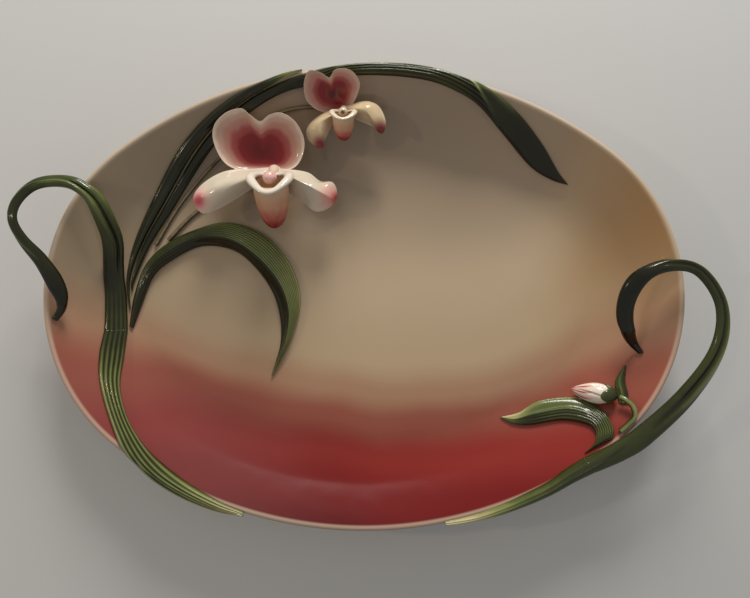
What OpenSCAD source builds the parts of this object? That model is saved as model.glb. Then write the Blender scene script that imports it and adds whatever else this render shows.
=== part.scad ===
// China serving platter: an oval dish on a foot ring, with leaf handles, two slipper
// orchids and a bud modelled by hand and luted to it before firing.
// Millimetres. The origin is the middle of the foot ring's resting plane, +Z up, +X along the
// long axis towards the handle with the bud, +Y towards the edge that carries the long leaf.

/* [Dish] */
// Length of the dish from rim to rim, handles not counted
dish_l = 470; // [392:1:564]
// Width of the dish from rim to rim
dish_w = 340; // [284:1:408]
// Height of the top of the rim above the table
rim_h = 42; // [36:1:52]
// Thickness of the fired wall and floor
wall_t = 4.4; // [3.4:0.1:6]
// Slope of the inside of the wall, in degrees up from flat
wall_slope = 38; // [32:1:44]
// Radius of the cove that joins the wall to the floor
cove_r = 55; // [44:1:66]

/* [Foot ring] */
// Height of the foot ring, from the table to the underside of the floor
foot_h = 6; // [4:0.5:9]
// Width of the foot ring where it meets the floor
foot_w = 6; // [4:0.5:8]
// Distance from the edge of the flat floor in to the outside of the foot ring
foot_inset = 1; // [0:0.5:6]
// Bevel on each lower edge of the foot ring
foot_bevel = 1; // [0.5:0.1:1.5]

/* [Leaves and stems] */
// Gap left for the film of slip under every applied piece
slip_gap = 0.1; // [0.05:0.01:0.2]
// Thickness of a leaf at its edge
leaf_edge_t = 1.2; // [0.8:0.1:2]
// Diameter of the stalk that carries the small orchid
small_stalk_d = 2.6; // [2:0.1:4]
// Diameter of the stalk that carries the big orchid
big_stalk_d = 3; // [2:0.1:4]
// Diameter of the stalk that carries the bud
bud_stalk_d = 4; // [3:0.1:5]

/* [Orchids] */
// Thickness of a petal in its middle
petal_t = 3; // [2.2:0.1:4]
// Thickness of a petal at its edge
petal_edge_t = 1.4; // [1:0.1:2]
// Least gap between a hood and the leaf that runs under it
petal_gap = 0.4; // [0.2:0.1:1]
// Wall of the slipper-shaped pouches
pouch_wall = 2; // [1.5:0.1:2.6]
// How far the big orchid's petal roots stand above the dish
big_root_rise = 20.6; // [17.2:0.1:24.8]
// Radius of the post that carries the big orchid
big_post_r = 5; // [4:0.1:6]
// Radius of the big orchid's pouch at its mouth
big_mouth_r = 13; // [11:0.1:14.5]
// Length of the big orchid's pouch
big_pouch_l = 37; // [32:0.5:42]
// How far the small orchid's petal roots stand above the dish
small_root_rise = 12.78; // [11.48:0.1:15.48]
// Radius of the post that carries the small orchid
small_post_r = 3.4; // [2.8:0.1:4]
// Radius of the small orchid's pouch at its mouth
small_mouth_r = 8; // [7:0.1:9]
// Length of the small orchid's pouch
small_pouch_l = 19; // [16:0.5:22]

/* [Bud] */
// Length of the closed bud
bud_l = 33; // [28:0.5:38]
// Widest radius of the closed bud
bud_r = 8.2; // [7:0.1:9.4]
// Wall of the green calyx round the foot of the bud
calyx_t = 1.3; // [1:0.1:1.8]

/* [Hidden] */
$fn = 144;

// The oval is four arcs, a tight one round each end and a wide one along each side. Their
// centres lie on a 3-4-5 triangle: the end arcs' at 3 units along X, the side arcs' at 4 units
// along Y, and the arcs meet on the lines through them.
oval_unit = (dish_l - dish_w) / 4;
end_x = 3 * oval_unit;
side_y = 4 * oval_unit;
end_r = dish_l / 2 - end_x;
side_r = dish_w / 2 + side_y;

// The wall's section, by the distance d in from the rim.
lip_r = wall_t / 2;
floor_z = foot_h + wall_t;
lip_end_d = lip_r * (1 + sin(wall_slope));
lip_end_z = rim_h - lip_r * (1 - cos(wall_slope));
cove_start_z = floor_z + cove_r * (1 - cos(wall_slope));
cove_start_d = lip_end_d + (lip_end_z - cove_start_z) / tan(wall_slope);
floor_d = cove_start_d + cove_r * sin(wall_slope);

// The leaf routes are drawn on an oval of this size and stretched to the dish's own.
route_l = 470;
route_w = 340;

// The pouches lean back by this angle, so that their mouths face up and forward.
mouth_tip = -55;
// The column over the mouth: its radius and its neck's, as shares of the post's, and how far
// its middle stands above the middle of the mouth.
column_share = 1.05;
neck_share = 0.6;
column_rise = 3;

// Sizes of the facets of the modelled pieces.
rings_per_station = 3;
leaf_across = 5;
tube_sides = 8;
lobe_spokes = 26;
lobe_rings = 3;
profile_steps = 12;

// ---- the dish's surface as a function ------------------------------------------------------

// Distance of a point in from the rim, measured square to the rim.
function inset(x, y) =
    let (ax = abs(x), ay = abs(y))
    3 * ay < 4 * (ax - end_x)
        ? end_r - norm([ax - end_x, ay])
        : side_r - norm([ax, ay + side_y]);

// Height of the inside of the dish at a distance d in from the rim. Outside the rim it
// falls away at 45 degrees, so that what lies over the rim wraps its edge.
function inner_z(d) =
    d < lip_r ? rim_h + min(0, max(d, -lip_r))
    : d < lip_end_d ? rim_h - lip_r + sqrt(max(0, lip_r * lip_r - (d - lip_r) * (d - lip_r)))
    : d < cove_start_d ? lip_end_z - (d - lip_end_d) * tan(wall_slope)
    : d < floor_d ? floor_z + cove_r - sqrt(cove_r * cove_r - (floor_d - d) * (floor_d - d))
    : floor_z;

// How steep the inside of the dish is at a distance d in from the rim, as height over run.
function inner_slope(d) =
    d < cove_start_d ? tan(wall_slope)
    : d < floor_d ? (floor_d - d) / sqrt(cove_r * cove_r - (floor_d - d) * (floor_d - d))
    : 0;

// A place on or over the dish, never in it. It stands lift above the dish's inside where free
// is 0, and lift above the top of the rim where free is 1.
function spot(x, y, lift, free = 0) =
    let (
        px = x * dish_l / route_l,
        py = y * dish_w / route_w,
        inside = inner_z(inset(px, py))
    )
    [px, py, max(inside, inside + free * (rim_h - inside) + lift)];

// Rise over the dish, at a distance d in from the rim, of what is clear of it by t square to it.
function clear_of_wall(d, t) = t * sqrt(1 + inner_slope(d) * inner_slope(d));

// How far the axis of a round thing of radius r stands above the dish that it lies on.
function resting(x, y, r) =
    clear_of_wall(inset(x * dish_l / route_l, y * dish_w / route_w), r + slip_gap);

// ---- curves --------------------------------------------------------------------------------

// Smooth value between four neighbours, f from 0 to 1 between the middle two.
function blend(p0, p1, p2, p3, f) =
    0.5 * (2 * p1 + (p2 - p0) * f + (2 * p0 - 5 * p1 + 4 * p2 - p3) * f * f
        + (3 * p1 - p0 - 3 * p2 + p3) * f * f * f);

// Smooth curve through the open list P, t from 0 to its last index.
function through(P, t) =
    let (n = len(P) - 1, i = min(floor(t), n - 1))
    blend(P[max(i - 1, 0)], P[i], P[i + 1], P[min(i + 2, n)], t - i);

// Smooth closed curve through the list P, t from 0 to its length.
function around(P, t) =
    let (n = len(P), i = floor(t) % n)
    blend(P[(i + n - 1) % n], P[i], P[(i + 1) % n], P[(i + 2) % n], t - floor(t));

function unit(v) = v / norm(v);

// ---- leaves --------------------------------------------------------------------------------

// One station of a leaf is
//   [left x, left y, left lift, right x, right y, right lift, thickness, free]
// where left and right are its edges as seen from the root. The underside runs from edge to
// edge, following the dish where free is 0, and the top bulges by the thickness.
function leaf_base(s, u) =
    let (v = 1 - u)
    spot(v * s[0] + u * s[3], v * s[1] + u * s[4], v * s[2] + u * s[5] + slip_gap, s[7]);

function leaf_ring(st, t) =
    let (
        s = through(st, t),
        last = len(st) - 1,
        step = 0.05,
        ahead = leaf_base(through(st, min(t + step, last)), 0.5),
        behind = leaf_base(through(st, max(t - step, 0)), 0.5),
        face = unit(cross(leaf_base(s, 1) - leaf_base(s, 0), ahead - behind)),
        under = [for (i = [0:leaf_across]) leaf_base(s, i / leaf_across)],
        over = [for (i = [leaf_across:-1:0])
            under[i] + face * (leaf_edge_t + (s[6] - leaf_edge_t) * sin(180 * i / leaf_across))]
    )
    concat(under, over);

// A closed skin over rings of points that all have the same count. Each end is closed by
// strips from one side of the ring to the other.
module skin(rings) {
    n = len(rings[0]);
    m = len(rings);
    half = n / 2;
    sides = [for (j = [0:m - 2]) for (i = [0:n - 1])
        let (a = j * n + i, b = j * n + (i + 1) % n, c = b + n, d = a + n)
        each [[a, b, c], [a, c, d]]];
    first = [for (i = [0:half - 2]) [i, n - 1 - i, n - 2 - i, i + 1]];
    last = [for (f = first) [for (k = [3:-1:0]) f[k] + (m - 1) * n]];
    polyhedron(
        points = [for (r = rings) each r],
        faces = concat(sides, first, last)
    );
}

module leaf(stations) {
    steps = (len(stations) - 1) * rings_per_station;
    skin([for (j = [0:steps]) leaf_ring(stations, j / rings_per_station)]);
}

// Turns what stands on +Z so that it points from p towards q.
module aim(p, q) {
    v = q - p;
    translate(p)
        rotate([0, acos(v[2] / norm(v)), atan2(v[1], v[0])])
            children();
}

// ---- stalks --------------------------------------------------------------------------------

// A round stalk along stations of [x, y, lift, free], each lift being that of its underside.
module stalk(stations, d) {
    r = d / 2;
    steps = (len(stations) - 1) * rings_per_station;
    last = len(stations) - 1;
    function axis(t) =
        let (s = through(stations, min(max(t, 0), last)))
        spot(s[0], s[1], s[2] + resting(s[0], s[1], r), s[3]);
    skin([for (j = [0:steps])
        let (
            t = j / rings_per_station,
            way = unit(axis(t + 0.05) - axis(t - 0.05)),
            side = unit(cross(way, [0, 0, 1])),
            up = cross(side, way)
        )
        [for (k = [0:tube_sides - 1])
            let (w = -360 * k / tube_sides)
            axis(t) + r * (cos(w) * side + sin(w) * up)]
    ]);
}

// ---- orchids -------------------------------------------------------------------------------

// The post that carries a flower, standing on the dish. A neck leans forward from its top and
// ends in the round column over the mouth of the pouch.
module post(flower, r, top_z, mouth) {
    foot = spot(flower[0], flower[1], 0);
    function side_point(k) = foot + r * [cos(-22.5 * k), sin(-22.5 * k), 0];
    skin([
        [for (k = [0:15])
            let (p = side_point(k))
            [p[0], p[1], inner_z(inset(p[0], p[1])) + slip_gap]],
        [for (k = [0:15])
            let (p = side_point(k))
            [p[0], p[1], top_z]]
    ]);
    column(flower, r, top_z, mouth);
}

// The neck and the round column alone.
module column(flower, r, top_z, mouth) {
    foot = spot(flower[0], flower[1], 0);
    base = [foot[0], foot[1], top_z - r];
    tip = [foot[0] + mouth[0], foot[1] + mouth[1], mouth[2] + column_rise];
    aim(base, tip)
        cylinder(h = norm(tip - base), r = neck_share * r);
    translate(tip)
        sphere(r * column_share);
}

// What a flower's other pieces are hollowed to fit round.
module room_for_post(flower, r, top_z, mouth) {
    foot = spot(flower[0], flower[1], 0);
    translate([foot[0], foot[1], 0])
        cylinder(h = top_z, r = r);
    column(flower, r, top_z, mouth);
}

// A lobed petal. Its outline is a closed smooth curve through points measured from the
// flower's post, heart is the middle of the petal, z is the height of its underside there,
// rise lifts its edge above its middle, and lean tips it by so much per mm along X and Y. It is
// pressed up wherever it would come nearer to the dish than room, measured square to the wall.
module petal(flower, outline, heart, z, rise, lean, room) {
    foot = spot(flower[0], flower[1], 0);
    n = lobe_spokes;
    function grid_point(k, s, top) =
        let (
            edge = around(outline, k * len(outline) / n),
            p = heart + (edge - heart) * s,
            d = inset(foot[0] + p[0], foot[1] + p[1]),
            under = max(z + rise * s * s + lean[0] * p[0] + lean[1] * p[1],
                inner_z(d) + clear_of_wall(d, room)),
            t = petal_edge_t + (petal_t - petal_edge_t) * (1 - s * s)
        )
        [foot[0] + p[0], foot[1] + p[1], under + top * t];
    layer = 1 + n * lobe_rings;
    function id(top, ring, k) = top * layer + (ring == 0 ? 0 : 1 + (ring - 1) * n + k % n);
    points = [for (top = [0, 1]) each concat(
        [grid_point(0, 0, top)],
        [for (ring = [1:lobe_rings]) for (k = [0:n - 1]) grid_point(k, ring / lobe_rings, top)]
    )];
    fans = [for (k = [0:n - 1]) each [
        [id(1, 0, 0), id(1, 1, k + 1), id(1, 1, k)],
        [id(0, 0, 0), id(0, 1, k), id(0, 1, k + 1)]
    ]];
    bands = [for (ring = [1:lobe_rings - 1]) for (k = [0:n - 1]) each [
        [id(1, ring, k), id(1, ring, k + 1), id(1, ring + 1, k + 1)],
        [id(1, ring, k), id(1, ring + 1, k + 1), id(1, ring + 1, k)],
        [id(0, ring, k), id(0, ring + 1, k + 1), id(0, ring, k + 1)],
        [id(0, ring, k), id(0, ring + 1, k), id(0, ring + 1, k + 1)]
    ]];
    edges = [for (k = [0:n - 1]) each [
        [id(1, lobe_rings, k), id(1, lobe_rings, k + 1), id(0, lobe_rings, k + 1)],
        [id(1, lobe_rings, k), id(0, lobe_rings, k + 1), id(0, lobe_rings, k)]
    ]];
    polyhedron(points = points, faces = concat(fans, bands, edges));
}

// The slipper: a thimble turned about its own axis, its mouth at the top and tipped forward.
module mouth_frame(flower, mouth) {
    foot = spot(flower[0], flower[1], 0);
    translate([foot[0] + mouth[0], foot[1] + mouth[1], mouth[2]])
        rotate([mouth_tip, 0, 0])
            children();
}

// Radius of the pouch at a share s of the way from its mouth to its toe.
function pouch_radius(s, mouth_r) = mouth_r * (1 - 0.12 * s) * pow(max(0, 1 - pow(s, 3.4)), 0.5);

module pouch(flower, mouth, mouth_r, length) {
    outside = [for (i = [0:profile_steps])
        let (s = sin(90 * i / profile_steps))
        [i == profile_steps ? 0 : pouch_radius(s, mouth_r), -length * s]];
    inner_l = length - pouch_wall;
    inside = [for (i = [profile_steps:-1:0])
        let (s = sin(90 * i / profile_steps))
        [i == profile_steps ? 0 : pouch_radius(s, mouth_r - pouch_wall), -inner_l * s]];
    mouth_frame(flower, mouth)
        rotate_extrude()
            polygon(concat(outside, inside));
}

// The rolled lip that stands round the pouch's mouth.
module collar(flower, mouth, mouth_r) {
    lip = pouch_wall * 0.75;
    mouth_frame(flower, mouth)
        rotate_extrude()
            polygon([
                [mouth_r - pouch_wall, 0],
                [mouth_r, 0],
                [mouth_r + lip, lip],
                [mouth_r + lip, 2 * lip],
                [mouth_r, 3 * lip],
                [mouth_r - pouch_wall, 2 * lip]
            ]);
}

// ---- bud -----------------------------------------------------------------------------------

// Radius of the bud at a share s of the way from its foot to its tip.
function bud_radius(s) = bud_r * pow(sin(180 * pow(s, 0.82)), 0.72) * (1 - 0.12 * s);

// Share of the bud's length that the calyx wraps.
calyx_share = 0.22;

// The bud's axis as laid by its two ends, and how far it has to be raised from there so that
// neither the calyx nor the bud's widest part sinks into the wall.
laid_tip = spot(158, -69.5, resting(158, -69.5, 0.65 * bud_r));
laid_foot = spot(186, -71.5, resting(186, -71.5, bud_r));
bud_rise = max([for (s = [0:0.05:0.9])
    let (
        p = laid_foot + bud_l * s * unit(laid_tip - laid_foot),
        d = inset(p[0], p[1]),
        r = bud_radius(s) + (s > 0 && s < calyx_share ? calyx_t : 0)
    )
    max(0, inner_z(d) + clear_of_wall(d, r) - p[2])]);
bud_tip = laid_tip + [0, 0, bud_rise];
bud_foot = laid_foot + [0, 0, bud_rise];

function bud_outline(from, to) = [for (i = [0:profile_steps])
    let (s = from + (to - from) * i / profile_steps)
    [s <= 0 || s >= 1 ? 0 : bud_radius(s), bud_l * s]];

// ---- routes, in whole millimetres on the oval of route_l by route_w ------------------------

// [left x, left y, left lift, right x, right y, right lift, thickness, free]
left_stem_stations = [
    [-88, -158.5, 0.3, -88, -155, 0.3, 1.6, 0],
    [-109, -155, 0.4, -106, -147, 0.4, 3, 0],
    [-135, -145, 0.5, -128, -135, 0.4, 4, 0],
    [-158, -130.5, 0.5, -147.5, -121.5, 0.4, 4.5, 0],
    [-175.5, -111.5, 0.5, -164, -107, 0.2, 4.5, 0],
    [-189.5, -87, 0.1, -177.5, -89, 0, 4.5, 0],
    [-199, -62, 0, -186, -66, 0, 4.5, 0],
    [-201.5, -42, 0, -186, -43, 0, 4.5, 0],
    [-200, -25, 0, -184.5, -25, 0, 4.5, 0]
];
left_handle_stations = [
    [-200, -24, 0, -184.5, -24, 0, 4.5, 0],
    [-200, 0, 0, -185.5, 0, 0, 4.5, 0],
    [-200.5, 24, 0, -187, 25, 0, 4.5, 0],
    [-196, 47, 6, -182, 49, 6, 4.5, 0.3],
    [-198.5, 67, 5, -186, 72, 5, 4.5, 1],
    [-206.5, 76.5, 8, -200, 84.5, 7, 4.5, 1],
    [-217, 79.5, 11, -214, 88, 8, 4.5, 1],
    [-231, 77, 13, -233, 84.5, 9, 4.5, 1],
    [-239.5, 67, 17, -246, 72, 10, 4.5, 1],
    [-242, 56, 18, -248.7, 57, 11, 4.5, 1],
    [-237, 44.5, 15, -244, 41, 9, 4.5, 1],
    [-226.5, 31, 9, -234.5, 24.5, 7, 4.5, 1],
    [-216, 14, 6, -227, 8.5, 6, 4.5, 1],
    [-215.5, -2, 1, -223.5, -3, 1, 4, 1],
    [-226, -16, 0, -229, -13.5, 0, 2.5, 0]
];
outer_tall_stations = [
    [-183.6, -7, 0, -182.6, -8, 0, 2, 0],
    [-185.4, 17, 0, -182.5, 16.5, 0, 4, 0],
    [-178.5, 46, 0, -173, 43.5, 0, 5, 0],
    [-162.5, 79, 0, -155.5, 74.5, 0, 5, 0],
    [-141, 111, 0, -134.5, 105.5, 0, 5, 0],
    [-118, 134, 0, -113, 129, 0, 5, 0],
    [-90.5, 152, 0, -87.5, 147, 0, 4.5, 0],
    [-64, 163, 0, -62, 159, 0, 3.5, 0],
    [-45, 167, 0, -45, 166, 0, 1.6, 0]
];
rim_leaf_stations = [
    [-182, 7, 0, -181.2, 6, 0, 2, 0],
    [-181.5, 16, 0, -179, 15.5, 0, 3.5, 0],
    [-172, 43.5, 0, -167.5, 41.5, 0, 3.5, 0],
    [-154.5, 74, 0, -149, 70.5, 0, 3.5, 0],
    [-133.5, 105, 0, -128.5, 100.5, 0, 3.5, 0],
    [-112.5, 128, 0, -108, 123.5, 0, 3.5, 0],
    [-87, 146.5, 0, -83.5, 141, 0, 3.5, 0],
    [-62, 158.5, 0, -59.5, 153, 0, 3.5, 0],
    [-34, 167.5, 0.3, -33, 159, 0.1, 3.5, 0],
    [-12, 172, 0.3, -12, 163.5, 0.1, 3.5, 0],
    [19, 173, 0.3, 19, 163.5, 0.1, 4, 0],
    [48, 170, 0.3, 47, 160, 0.1, 4, 0],
    [72, 163, 0.3, 68, 153, 0.1, 4, 0],
    [91, 154, 0.3, 86, 143, 0.1, 4, 0],
    [115, 136, 0.3, 107, 123, 0.1, 4, 0],
    [134, 116, 0, 128, 102, 0, 4, 0],
    [148, 97, 0, 144, 92, 0, 3, 0],
    [156, 88, 0, 155, 88, 0, 1.6, 0]
];
arching_leaf_stations = [
    [-183.4, -21, 0, -180.5, -23, 0, 2, 0],
    [-180, 2, 0, -173.5, -3, 0, 5, 0],
    [-171, 26.5, 0, -164.5, 18, 0, 6, 0],
    [-156, 42, 0, -149, 31, 0, 7, 0],
    [-133, 54, 0, -127, 41, 0, 8, 0],
    [-106, 60, 0, -103, 38, 0, 10, 0],
    [-78, 50, 0, -86, 25, 0, 10, 0],
    [-58, 27, 0, -72, 5, 0, 10, 0],
    [-50, 0, 0, -66, -16, 0, 9, 0],
    [-56, -28, 0, -66, -35, 0, 7, 0],
    [-67, -51, 0, -71, -53, 0, 4, 0],
    [-72, -60, 0, -73, -60, 0, 2, 0]
];
right_stem_stations = [
    [59, -162, 0.3, 60, -165, 0.3, 1.6, 0],
    [80, -157, 0.3, 81, -162, 0.3, 3, 0],
    [99, -150, 0.2, 101, -157, 0.3, 4, 0],
    [115, -143, 0.2, 118, -151, 0.3, 4.5, 0],
    [133, -134, 0.2, 137, -143, 0.3, 5, 0],
    [148, -124, 0.2, 154, -134, 0.3, 5, 0],
    [159, -117, 0.2, 167, -128, 0.3, 5, 0]
];
right_handle_stations = [
    [161, -116, 0, 169, -127, 0, 5, 0],
    [180, -105, 2, 190, -116.5, 2, 5, 0.5],
    [197, -93, 3, 208, -104, 3, 5, 1],
    [226, -66, 5, 238, -73, 5, 5, 1],
    [246, -35, 10, 257, -38, 7, 5, 1],
    [248, -6, 14, 256, -6, 8, 5, 1],
    [234, 16, 15, 240, 19, 9, 5, 1],
    [216, 19, 15, 216, 27, 9, 5, 1],
    [203, 12, 9, 193, 19, 7, 5, 1],
    [197, -4, 0, 184, 0, 2, 4.5, 1],
    [200, -22, -6, 188, -22, -4, 4, 1],
    [209.5, -39.5, 0, 206.5, -41, 0, 2, 0]
];
right_small_leaf_stations = [
    [162, -113.8, 0, 178, -104.6, 0, 2.5, 0],
    [169.5, -107, 0, 183, -101.3, 0, 5, 0],
    [172, -99.5, 0, 183.8, -94, 0, 6, 0],
    [167.5, -94.5, 0, 178.5, -83.5, 0, 6, 0],
    [151, -93, 0, 163, -76.5, 0, 6, 0],
    [128, -97.5, 0, 136, -79.5, 0, 5, 0],
    [115, -97, 0, 120, -88.5, 0, 3.5, 0],
    [106, -92.5, 0, 107, -92, 0, 1.6, 0]
];
bud_bract_stations = [
    [190.5, -78, 0, 196, -78, 0, 1.6, 0],
    [190, -70, 0, 197, -71, 0, 2.4, 0],
    [190.5, -62, 0, 196.5, -62, 0, 2.4, 0],
    [197.5, -50.5, 0, 198.5, -51, 0, 1.6, 0]
];

// [x, y, lift, free]
small_stalk_stations = [
    [-163, 42, 0, 0],
    [-143, 74, 0, 0],
    [-113, 107, 0, 0],
    [-75, 135, 0, 0],
    [-46, 144, 0, 0],
    [-19, 142, 0, 0]
];
big_stalk_stations = [
    [-153, 46, 0, 0],
    [-132, 67, 0, 0],
    [-104, 84, 0, 0],
    [-74, 93, 0, 0]
];
bud_stalk_stations = [
    [187, -96.5, 0, 0],
    [192, -91.5, 1, 0],
    [196.5, -85.5, 3, 0],
    [196, -78.5, 5, 0],
    [192, -74, 6.8 + bud_rise, 0],
    [188.5, -72, 7.6 + bud_rise, 0]
];

// Flowers: where the post stands and how high it is, where the middle of the mouth lies, and
// the outlines of the petals, all but the heights measured from the post.
big_orchid = [-67, 95];
big_root_z = spot(big_orchid[0], big_orchid[1], big_root_rise)[2];
big_top_z = big_root_z + 9;
big_mouth = [0, -11, big_root_z + 19];
big_hood_outline = [
    [0, 0], [14, 2], [21, 10], [23, 22], [17, 34], [7, 40], [-1, 39], [-9, 35],
    [-16, 39], [-22, 43], [-33, 40], [-42, 32], [-44, 22], [-39, 9], [-30, 2], [-14, 0]
];
big_left_petal_outline = [
    [0, 3], [-16, 2], [-35, 0], [-50, -8], [-58, -17], [-58, -26], [-51, -32], [-38, -27], [-18, -14], [-3, -4]
];
big_right_petal_outline = [
    [0, 3], [3, -4], [9, -14], [20, -22], [31, -30], [42, -27], [47, -18], [44, -9], [34, -7], [25, -1], [9, 2]
];
small_orchid = [-15, 140];
small_root_z = spot(small_orchid[0], small_orchid[1], small_root_rise)[2];
small_top_z = small_root_z + 6;
small_mouth = [0, -7, small_root_z + 12];
small_hood_outline = [
    [0, -1], [6, 4], [10, 10], [12, 17], [7, 23], [0, 25], [-6, 24], [-10, 20],
    [-16, 22], [-24, 23], [-28, 18], [-29, 12], [-27, 6], [-20, 1], [-10, -1]
];
small_left_petal_outline = [
    [0, 2], [-8, 1], [-19, -4], [-27, -12], [-27, -21], [-17, -29], [-14, -22], [-9, -11], [-2, -3]
];
small_right_petal_outline = [
    [0, 2], [2, -3], [9, -7], [20, -12], [28, -18], [31, -10], [27, 1], [20, 6], [11, 6]
];

// ---- the separate pieces -------------------------------------------------------------------

// Draws its section, given as (distance in from the rim, height), right round the oval. A
// distance that passes the arc's centre stops at it, which closes the floor.
module sweep_oval(section) {
    far = dish_l / 2;
    for (s = [-1, 1]) {
        intersection() {
            turned(section, end_r, [s * end_x, 0]);
            prism([[s * end_x, 0], [s * (end_x + 3 * far), -4 * far], [s * (end_x + 3 * far), 4 * far]]);
        }
        intersection() {
            turned(section, side_r, [0, -s * side_y]);
            prism([[-end_x, 0], [end_x, 0], [end_x + 3 * far, s * 4 * far], [-end_x - 3 * far, s * 4 * far]]);
        }
    }
}

// The section turned full circle about a centre, its rim at radius r.
module turned(section, r, centre) {
    translate([centre[0], centre[1], 0])
        rotate_extrude()
            polygon([for (p = section) [max(0, r - thousandths(p[0])), thousandths(p[1])]]);
}

module prism(outline) {
    translate([0, 0, -rim_h])
        linear_extrude(3 * rim_h)
            polygon(outline);
}

// Rounded so that the turned arcs meet on exactly the same lines.
function thousandths(v) = round(v * 1000) / 1000;

// Points on an arc in the wall's section, angles measured from straight up towards the rim.
function section_arc(d, z, r, from, to, steps) = [for (i = [0:steps])
    let (w = from + (to - from) * i / steps)
    [d + r * sin(w), z + r * cos(w)]];

module platter_dish() {
    cove_z = floor_z + cove_r;
    past_centre = dish_l;
    section = concat(
        section_arc(lip_r, rim_h - lip_r, lip_r, wall_slope, wall_slope - 180, 10),
        section_arc(floor_d, cove_z, cove_r + wall_t, wall_slope - 180, -180, profile_steps),
        [[past_centre, foot_h], [past_centre, floor_z]],
        section_arc(floor_d, cove_z, cove_r, -180, wall_slope - 180, profile_steps)
    );
    color("antiquewhite")
        sweep_oval(section);
}

module foot_ring() {
    outside = floor_d + foot_inset;
    color("tan")
        sweep_oval([
            [outside, foot_h],
            [outside, foot_bevel],
            [outside + foot_bevel, 0],
            [outside + foot_w - foot_bevel, 0],
            [outside + foot_w, foot_bevel],
            [outside + foot_w, foot_h]
        ]);
}

module left_stem() {
    color("darkseagreen")
        leaf(left_stem_stations);
}

module left_handle_leaf() {
    color("darkolivegreen")
        leaf(left_handle_stations);
}

module outer_tall_leaf() {
    color("darkolivegreen")
        leaf(outer_tall_stations);
}

module rim_leaf() {
    color("olivedrab")
        leaf(rim_leaf_stations);
}

module arching_leaf() {
    color("forestgreen")
        leaf(arching_leaf_stations);
}

module small_orchid_stalk() {
    color("saddlebrown")
        stalk(small_stalk_stations, small_stalk_d);
}

module big_orchid_stalk() {
    color("saddlebrown")
        stalk(big_stalk_stations, big_stalk_d);
}

module big_orchid_post() {
    color("pink")
        post(big_orchid, big_post_r, big_top_z, big_mouth);
}

// What is drawn in it gives way to the big orchid's post.
module round_big_post() {
    difference() {
        children();
        room_for_post(big_orchid, big_post_r, big_top_z, big_mouth);
    }
}

module big_orchid_hood() {
    color("firebrick")
        round_big_post()
            petal(big_orchid, big_hood_outline, [-10, 20], big_root_z - 8, 6, [0, 0.3],
                outer_tall_stations[4][6] + petal_gap);
}

module big_orchid_left_petal() {
    color("ivory")
        round_big_post()
            petal(big_orchid, big_left_petal_outline, [-30, -14], big_root_z + 5, -4, [-0.1, 0],
                big_stalk_d + petal_gap);
}

module big_orchid_right_petal() {
    color("ivory")
        round_big_post()
            petal(big_orchid, big_right_petal_outline, [24, -12], big_root_z + 5, -4, [0.1, 0],
                petal_gap);
}

module big_orchid_pouch() {
    color("indianred")
        round_big_post()
            pouch(big_orchid, big_mouth, big_mouth_r, big_pouch_l);
}

module big_orchid_collar() {
    color("ivory")
        round_big_post()
            collar(big_orchid, big_mouth, big_mouth_r);
}

module small_orchid_post() {
    color("pink")
        post(small_orchid, small_post_r, small_top_z, small_mouth);
}

// What is drawn in it gives way to the small orchid's post.
module round_small_post() {
    difference() {
        children();
        room_for_post(small_orchid, small_post_r, small_top_z, small_mouth);
    }
}

module small_orchid_hood() {
    color("firebrick")
        round_small_post()
            petal(small_orchid, small_hood_outline, [-8, 12], small_root_z - 7.5, 2, [0, 0.82],
                rim_leaf_stations[8][6] + petal_gap);
}

module small_orchid_left_petal() {
    color("ivory")
        round_small_post()
            petal(small_orchid, small_left_petal_outline, [-17, -11], small_root_z + 3, -3, [0, 0],
                small_stalk_d + petal_gap);
}

module small_orchid_right_petal() {
    color("ivory")
        round_small_post()
            petal(small_orchid, small_right_petal_outline, [16, -2], small_root_z + 3, -3, [0.1, 0],
                petal_gap);
}

module small_orchid_pouch() {
    color("indianred")
        round_small_post()
            pouch(small_orchid, small_mouth, small_mouth_r, small_pouch_l);
}

module small_orchid_collar() {
    color("ivory")
        round_small_post()
            collar(small_orchid, small_mouth, small_mouth_r);
}

module right_stem() {
    color("darkseagreen")
        leaf(right_stem_stations);
}

module right_handle_leaf() {
    color("darkolivegreen")
        leaf(right_handle_stations);
}

module right_small_leaf() {
    color("olivedrab")
        leaf(right_small_leaf_stations);
}

module bud_stalk() {
    color("darkolivegreen")
        stalk(bud_stalk_stations, bud_stalk_d);
}

module bud() {
    color("mistyrose")
        aim(bud_foot, bud_tip)
            rotate_extrude()
                polygon(bud_outline(0, 1));
}

module bud_calyx() {
    color("darkolivegreen")
        aim(bud_foot, bud_tip)
            rotate_extrude()
                polygon(concat(
                    bud_outline(0, calyx_share),
                    [for (i = [profile_steps:-1:0])
                        let (s = calyx_share * i / profile_steps)
                        [(s <= 0 ? 0 : bud_radius(s)) + calyx_t, bud_l * s]],
                    [[bud_stalk_d / 2, -calyx_t], [0, -calyx_t]]
                ));
}

module bud_bract() {
    color("olivedrab")
        leaf(bud_bract_stations);
}

platter_dish();
foot_ring();
left_stem();
left_handle_leaf();
outer_tall_leaf();
rim_leaf();
arching_leaf();
small_orchid_stalk();
big_orchid_stalk();
big_orchid_post();
big_orchid_hood();
big_orchid_left_petal();
big_orchid_right_petal();
big_orchid_pouch();
big_orchid_collar();
small_orchid_post();
small_orchid_hood();
small_orchid_left_petal();
small_orchid_right_petal();
small_orchid_pouch();
small_orchid_collar();
right_stem();
right_handle_leaf();
right_small_leaf();
bud_stalk();
bud();
bud_calyx();
bud_bract();
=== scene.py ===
# A china serving platter: a deep oval dish shaded from ivory down to crimson, with leaf handles,
# two slipper orchids and a bud modelled by hand and luted on. Shapes are worked out in
# millimetres and laid into the meshes in metres. +Z is up out of the dish, +X along its length.
import math

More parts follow.
